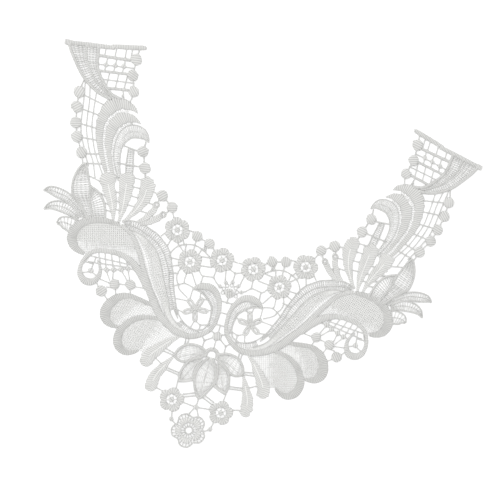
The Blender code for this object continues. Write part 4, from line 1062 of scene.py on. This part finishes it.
def bottom_flower():
    """Five petals inside a lobed outline cord, round a ring of net and an open eye."""
    rim = lobed_cord(*BOTTOM_RIM)
    eye_ring = lobed_cord(*BOTTOM_HOLE, 16)
    radius, notch = BOTTOM_PETALS
    inner = petals(*BOTTOM_CENTRE, radius, BOTTOM_LOBES, notch, BOTTOM_START, PETAL_INSIDE, finish=LOOSE)
    spokes = np.concatenate([np.array(BOTTOM_CENTRE) + reach * circle(15) for reach in BOTTOM_SPOKES], 1)
    links = np.concatenate([lobed_ring(reach, dip, 30) for reach, dip in BOTTOM_LINKS], 1)
    sides = both(dots(BOTTOM_DOTS) + bars(BOTTOM_BARS))
    middle = [rim, eye_ring, inner] + bars(spokes, 0.3) + bars(links, 0.26)
    return sides + middle + dots([BOTTOM_EYE]) + bars(BOTTOM_AXIS)


# Finishes

def linear(code):
    """A hex sRGB colour as linear numbers for a shader."""
    parts = [int(code[i:i + 2], 16) / 255 for i in (1, 3, 5)]
    return (*[c / 12.92 if c <= 0.04045 else ((c + 0.055) / 1.055) ** 2.4 for c in parts], 1.0)


def add_node(tree, kind, links=(), **settings):
    """A node of a kind with its settings, and links as (input, output socket)."""
    node = tree.nodes.new(kind)
    for name, value in settings.items():
        if name in node.inputs:
            node.inputs[name].default_value = value
        else:
            setattr(node, name, value)
    for socket, source in links:
        tree.links.new(source, node.inputs[socket])
    return node


def thread_finish(name, light, groove_shade_and_patches, rough, spacing, bump, direction="X"):
    """Cotton thread: matt, with a soft sheen, with painted shade in the groove between each two
    stitches, which lie spacing apart in thread coordinates (0.001 is one stitch of a strip, or a
    millimetre along a thread), and with fine strands on each stitch. light is the tone on a stitch,
    the second tone is painted shade in a groove and soft patches at random reach it too, rough is the
    roughness and bump how strongly the strands stand out."""
    material = bpy.data.materials.new(name)
    material.use_nodes = True
    tree = material.node_tree
    shader = tree.nodes["Principled BSDF"]
    place = add_node(tree, "ShaderNodeTexCoord")
    stitches = add_node(tree, "ShaderNodeUVMap", uv_map="stitches")
    links = [("Vector", stitches.outputs["UV"])]
    groove_shade_bands, strands = (
        add_node(tree, "ShaderNodeTexWave", links, wave_type="BANDS", bands_direction=direction,
                 Scale=count * WAVE_TURN / spacing, Distortion=0.4, Detail=1.0)
        for count in (1, STRANDS))
    links = [("Vector", place.outputs["Object"])]
    cloud = add_node(tree, "ShaderNodeTexNoise", links, Scale=CLOUD_SCALE, Detail=3.0)
    fuzz = add_node(tree, "ShaderNodeTexNoise", links, Scale=FUZZ_SCALE, Detail=2.0)
    # The tone: painted shade in the groove between each two stitches, from the bands, times soft patches of
    # tone that differ at random
    links = [(0, groove_shade_bands.outputs["Fac"]), (1, cloud.outputs["Fac"])]
    blend = add_node(tree, "ShaderNodeMath", links, operation="MULTIPLY")
    tone = add_node(tree, "ShaderNodeValToRGB", [("Fac", blend.outputs[0])])
    tone.color_ramp.elements[0].color = linear(groove_shade_and_patches)
    tone.color_ramp.elements[1].color = linear(light)
    tone.color_ramp.elements[1].position = 0.4
    links = [(0, strands.outputs["Fac"]), (1, fuzz.outputs["Fac"])]
    relief = add_node(tree, "ShaderNodeMath", links, operation="ADD")
    links = [("Height", relief.outputs[0])]
    raised = add_node(tree, "ShaderNodeBump", links, Strength=bump, Distance=BUMP_HEIGHT)
    matt = {"Roughness": rough, "Sheen Weight": 0.2, "Sheen Roughness": 0.5, "Specular IOR Level": 0.2}
    for socket, value in matt.items():
        shader.inputs[socket].default_value = value
    tree.links.new(tone.outputs["Color"], shader.inputs["Base Color"])
    tree.links.new(raised.outputs["Normal"], shader.inputs["Normal"])
    return material


def add_piece(name, parts, side, nodes):
    """One visible piece from its parts, laid down on its side of the collar."""
    if side < 0:
        parts = [mirrored(part) for part in parts]
    first = np.cumsum([0] + [len(part[0]) for part in parts[:-1]])
    points = np.concatenate([part[0] for part in parts])
    coords = np.concatenate([part[2] for part in parts])
    faces = np.concatenate([np.where(part[1] < 0, -1, part[1] + n) for part, n in zip(parts, first)])
    u, v = lay(points[:, 0], points[:, 1])
    place = np.stack([u, v, points[:, 2].clip(0.0)], 1) / MM_PER_METRE
    sizes = (faces >= 0).sum(1)
    corners = faces[faces >= 0]
    kinds = np.concatenate([np.full(len(part[1]), part[3]) for part in parts])
    used = np.unique(kinds)
    mesh = bpy.data.meshes.new(name)
    mesh.vertices.add(len(place))
    mesh.vertices.foreach_set("co", place.ravel())
    mesh.loops.add(len(corners))
    mesh.loops.foreach_set("vertex_index", corners)
    mesh.polygons.add(len(sizes))
    mesh.polygons.foreach_set("loop_start", np.cumsum(sizes) - sizes)
    mesh.polygons.foreach_set("use_smooth", np.ones(len(sizes), bool))
    mesh.polygons.foreach_set("material_index", np.searchsorted(used, kinds))
    mesh.update(calc_edges=True)
    layer = mesh.uv_layers.new(name="stitches")
    layer.data.foreach_set("uv", (coords[corners] / MM_PER_METRE).ravel())
    for kind in used:
        mesh.materials.append(FINISHES[kind])
    piece = bpy.data.objects.new(name, mesh)
    bpy.context.scene.collection.objects.link(piece)
    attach(piece, "root")
    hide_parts(*nodes)
    declare_sheet(piece, place)


def declare_sheet(piece, place):
    """The flat size it was worked at, worked out here and not passed on: its box along its own long
    axis, and the cloth in it, half its surface. A motif of few threads counts as narrower than
    its box, so that its cloth fills a third of it."""
    flat = place[:, :2] - place[:, :2].mean(0)
    axes = np.linalg.eigh(flat.T @ flat)[1]
    extent = np.ptp(flat @ axes, axis=0)
    width, length = (max(LEAST_WIDTH, float(side)) for side in sorted(extent))
    mesh = piece.data
    areas = np.empty(len(mesh.polygons))
    mesh.polygons.foreach_get("area", areas)
    cover = float(areas.sum() / 2)
    width = min(max(width, cover / FULLEST / length), cover / OPENEST / length)


def side_petal():
    """The outer petal of the lotus, with its bars."""
    return petal(PETAL_SIDE_TOP, PETAL_SIDE_FOOT, PETAL_SIDE_VEIN) + bars(BARS_PETAL_SIDE)


# How each motif is made, those on both sides of the collar and those on its middle line
SIDE_PIECES = {
    "end_panel": end_panel,
    "balls_outer": outer_balls,
    "ladder": ladder,
    "plume_outer": lambda: [plume(PLUME_OUTER)],
    "plume_middle": middle_plume,
    "plume_inner": inner_plume,
    "leaf_double": double_leaf,
    "leaves_edge": edge_leaves,
    "finger_a": lambda: finger(FINGER_A) + bars(BARS_LEAF_A),
    "finger_b": lambda: finger(FINGER_B) + bars(BARS_A_B),
    "finger_c": lambda: finger(FINGER_C) + bars(BARS_B_C),
    "fingers_small": small_fingers,
    "stem": stem,
    "lobe_top": top_lobe,
    "lobe_middle": middle_lobe,
    "lobe_low": low_lobe,
    "curl": curl,
    "flower_neck": lambda: rosette(*FLOWER_NECK, start=0.2) + bars(NECK_BARS),
    "flower_net": flower_net,
    "flower_middle": lambda: rosette(*FLOWER_MIDDLE, start=0.5) + bars(MIDDLE_BARS),
    "flower_loops": loop_flower,
    "flower_low": lambda: rosette(*FLOWER_LOW, 5, math.radians(90)) + bars(LOW_BARS),
    "finger_low_outer": lambda: finger(FINGER_G[::-1]),
    "finger_low_inner": lambda: finger(FINGER_H[::-1]) + bars(BARS_G_H),
    "lotus_side": side_petal,
    "lotus_low": low_petal,
}
MIDDLE_PIECES = {
    "lotus_middle": lotus_middle,
    "heart": heart,
    "disc_flower": disc_flower,
    "bottom_flower": bottom_flower,
}

# In each finish the second colour is painted shade in the groove between stitches or plies; soft patches of
# tone at random reach it too
FINISHES = [
    # Stitches laid side by side: soft light on each, painted shade between them
    thread_finish("satin_stitched_cotton", "#D4D4D2", "#B8B8B6", 0.72, 0.001, 0.35),
    # Two plies turned round each other: matt and greyer, with slanting bands of painted shade along the bars
    thread_finish("twisted_cotton", "#CECECC", "#BCBCBA", 0.8, 0.0007, 0.3, "DIAGONAL"),
    # Thin flat threads of nets and woven grounds: pale, as if light came through them
    thread_finish("open_ground_cotton", "#E2E2E0", "#D4D4D2", 0.8, 0.0007, 0.3, "DIAGONAL"),
    # Long stitches that lie apart: paler than satin, so that leaves and rungs stand back
    thread_finish("loose_satin_cotton", "#DADAD8", "#BEBEBC", 0.75, 0.001, 0.3),
    # Tight stitches over thick padding: the darkest grey, in the heavy cords of the lobes
    thread_finish("padded_satin_cotton", "#CDCDCB", "#AEAEAC", 0.72, 0.001, 0.4),
    # Smooth near-white thread on top of the rest, the light veins of the fingers: painted light, standing
    # for light that shows through open holes along each leaf's middle
    thread_finish("vein_cotton_painted_light", "#F0F0EE", "#E2E2E0", 0.6, 0.001, 0.2),
]
for name, make in SIDE_PIECES.items():
    for label, side in SIDES.items():
        node = f"{name}_{label}"
        add_piece("lace_" + node, make(), side, [node])
for node, make in MIDDLE_PIECES.items():
    add_piece("lace_" + node, make(), 1, [node])


# Floor, light and camera

def stage_floor():
    """A plain pale table under the collar."""
    bpy.ops.mesh.primitive_plane_add(size=4.0, location=(0, 0, -0.0002))
    floor = bpy.context.object
    floor.name = "table"
    # Matt paper, so bright that the eye sees an even white with the softest shadows
    paper = bpy.data.materials.new("white_paper")
    paper.use_nodes = True
    shader = paper.node_tree.nodes["Principled BSDF"]
    shader.inputs["Base Color"].default_value = linear("#FBFBFB")
    shader.inputs["Roughness"].default_value = 0.9
    floor.data.materials.append(paper)


def studio_light():
    """Even white light from all round and one broad soft lamp from the upper left."""
    world = bpy.data.worlds.new("studio")
    bpy.context.scene.world = world
    world.use_nodes = True
    background = world.node_tree.nodes["Background"]
    background.inputs["Color"].default_value = (1.0, 1.0, 1.0, 1.0)
    background.inputs["Strength"].default_value = 1.05
    lamp = bpy.data.lights.new("softbox", "AREA")
    lamp.shape = "DISK"
    lamp.size = 1.6
    lamp.energy = 11.0
    softbox = bpy.data.objects.new("softbox", lamp)
    softbox.location = (-0.8, 0.9, 1.5)
    softbox.rotation_euler = (math.radians(-30), math.radians(-28), 0.0)
    bpy.context.scene.collection.objects.link(softbox)


def add_camera():
    """Straight down, with the frame turned as the photograph's."""
    lens = bpy.data.cameras.new("camera")
    lens.sensor_width = SENSOR
    lens.lens = VIEW_LENS
    camera = bpy.data.objects.new("camera", lens)
    camera.location = (*VIEW_CENTRE, VIEW_HEIGHT)
    camera.rotation_euler = (0.0, 0.0, VIEW_TURN)
    bpy.context.scene.collection.objects.link(camera)
    bpy.context.scene.camera = camera


stage_floor()
studio_light()
add_camera()
# White paper stays white, as in a product photograph
bpy.context.scene.view_settings.view_transform = "Standard"
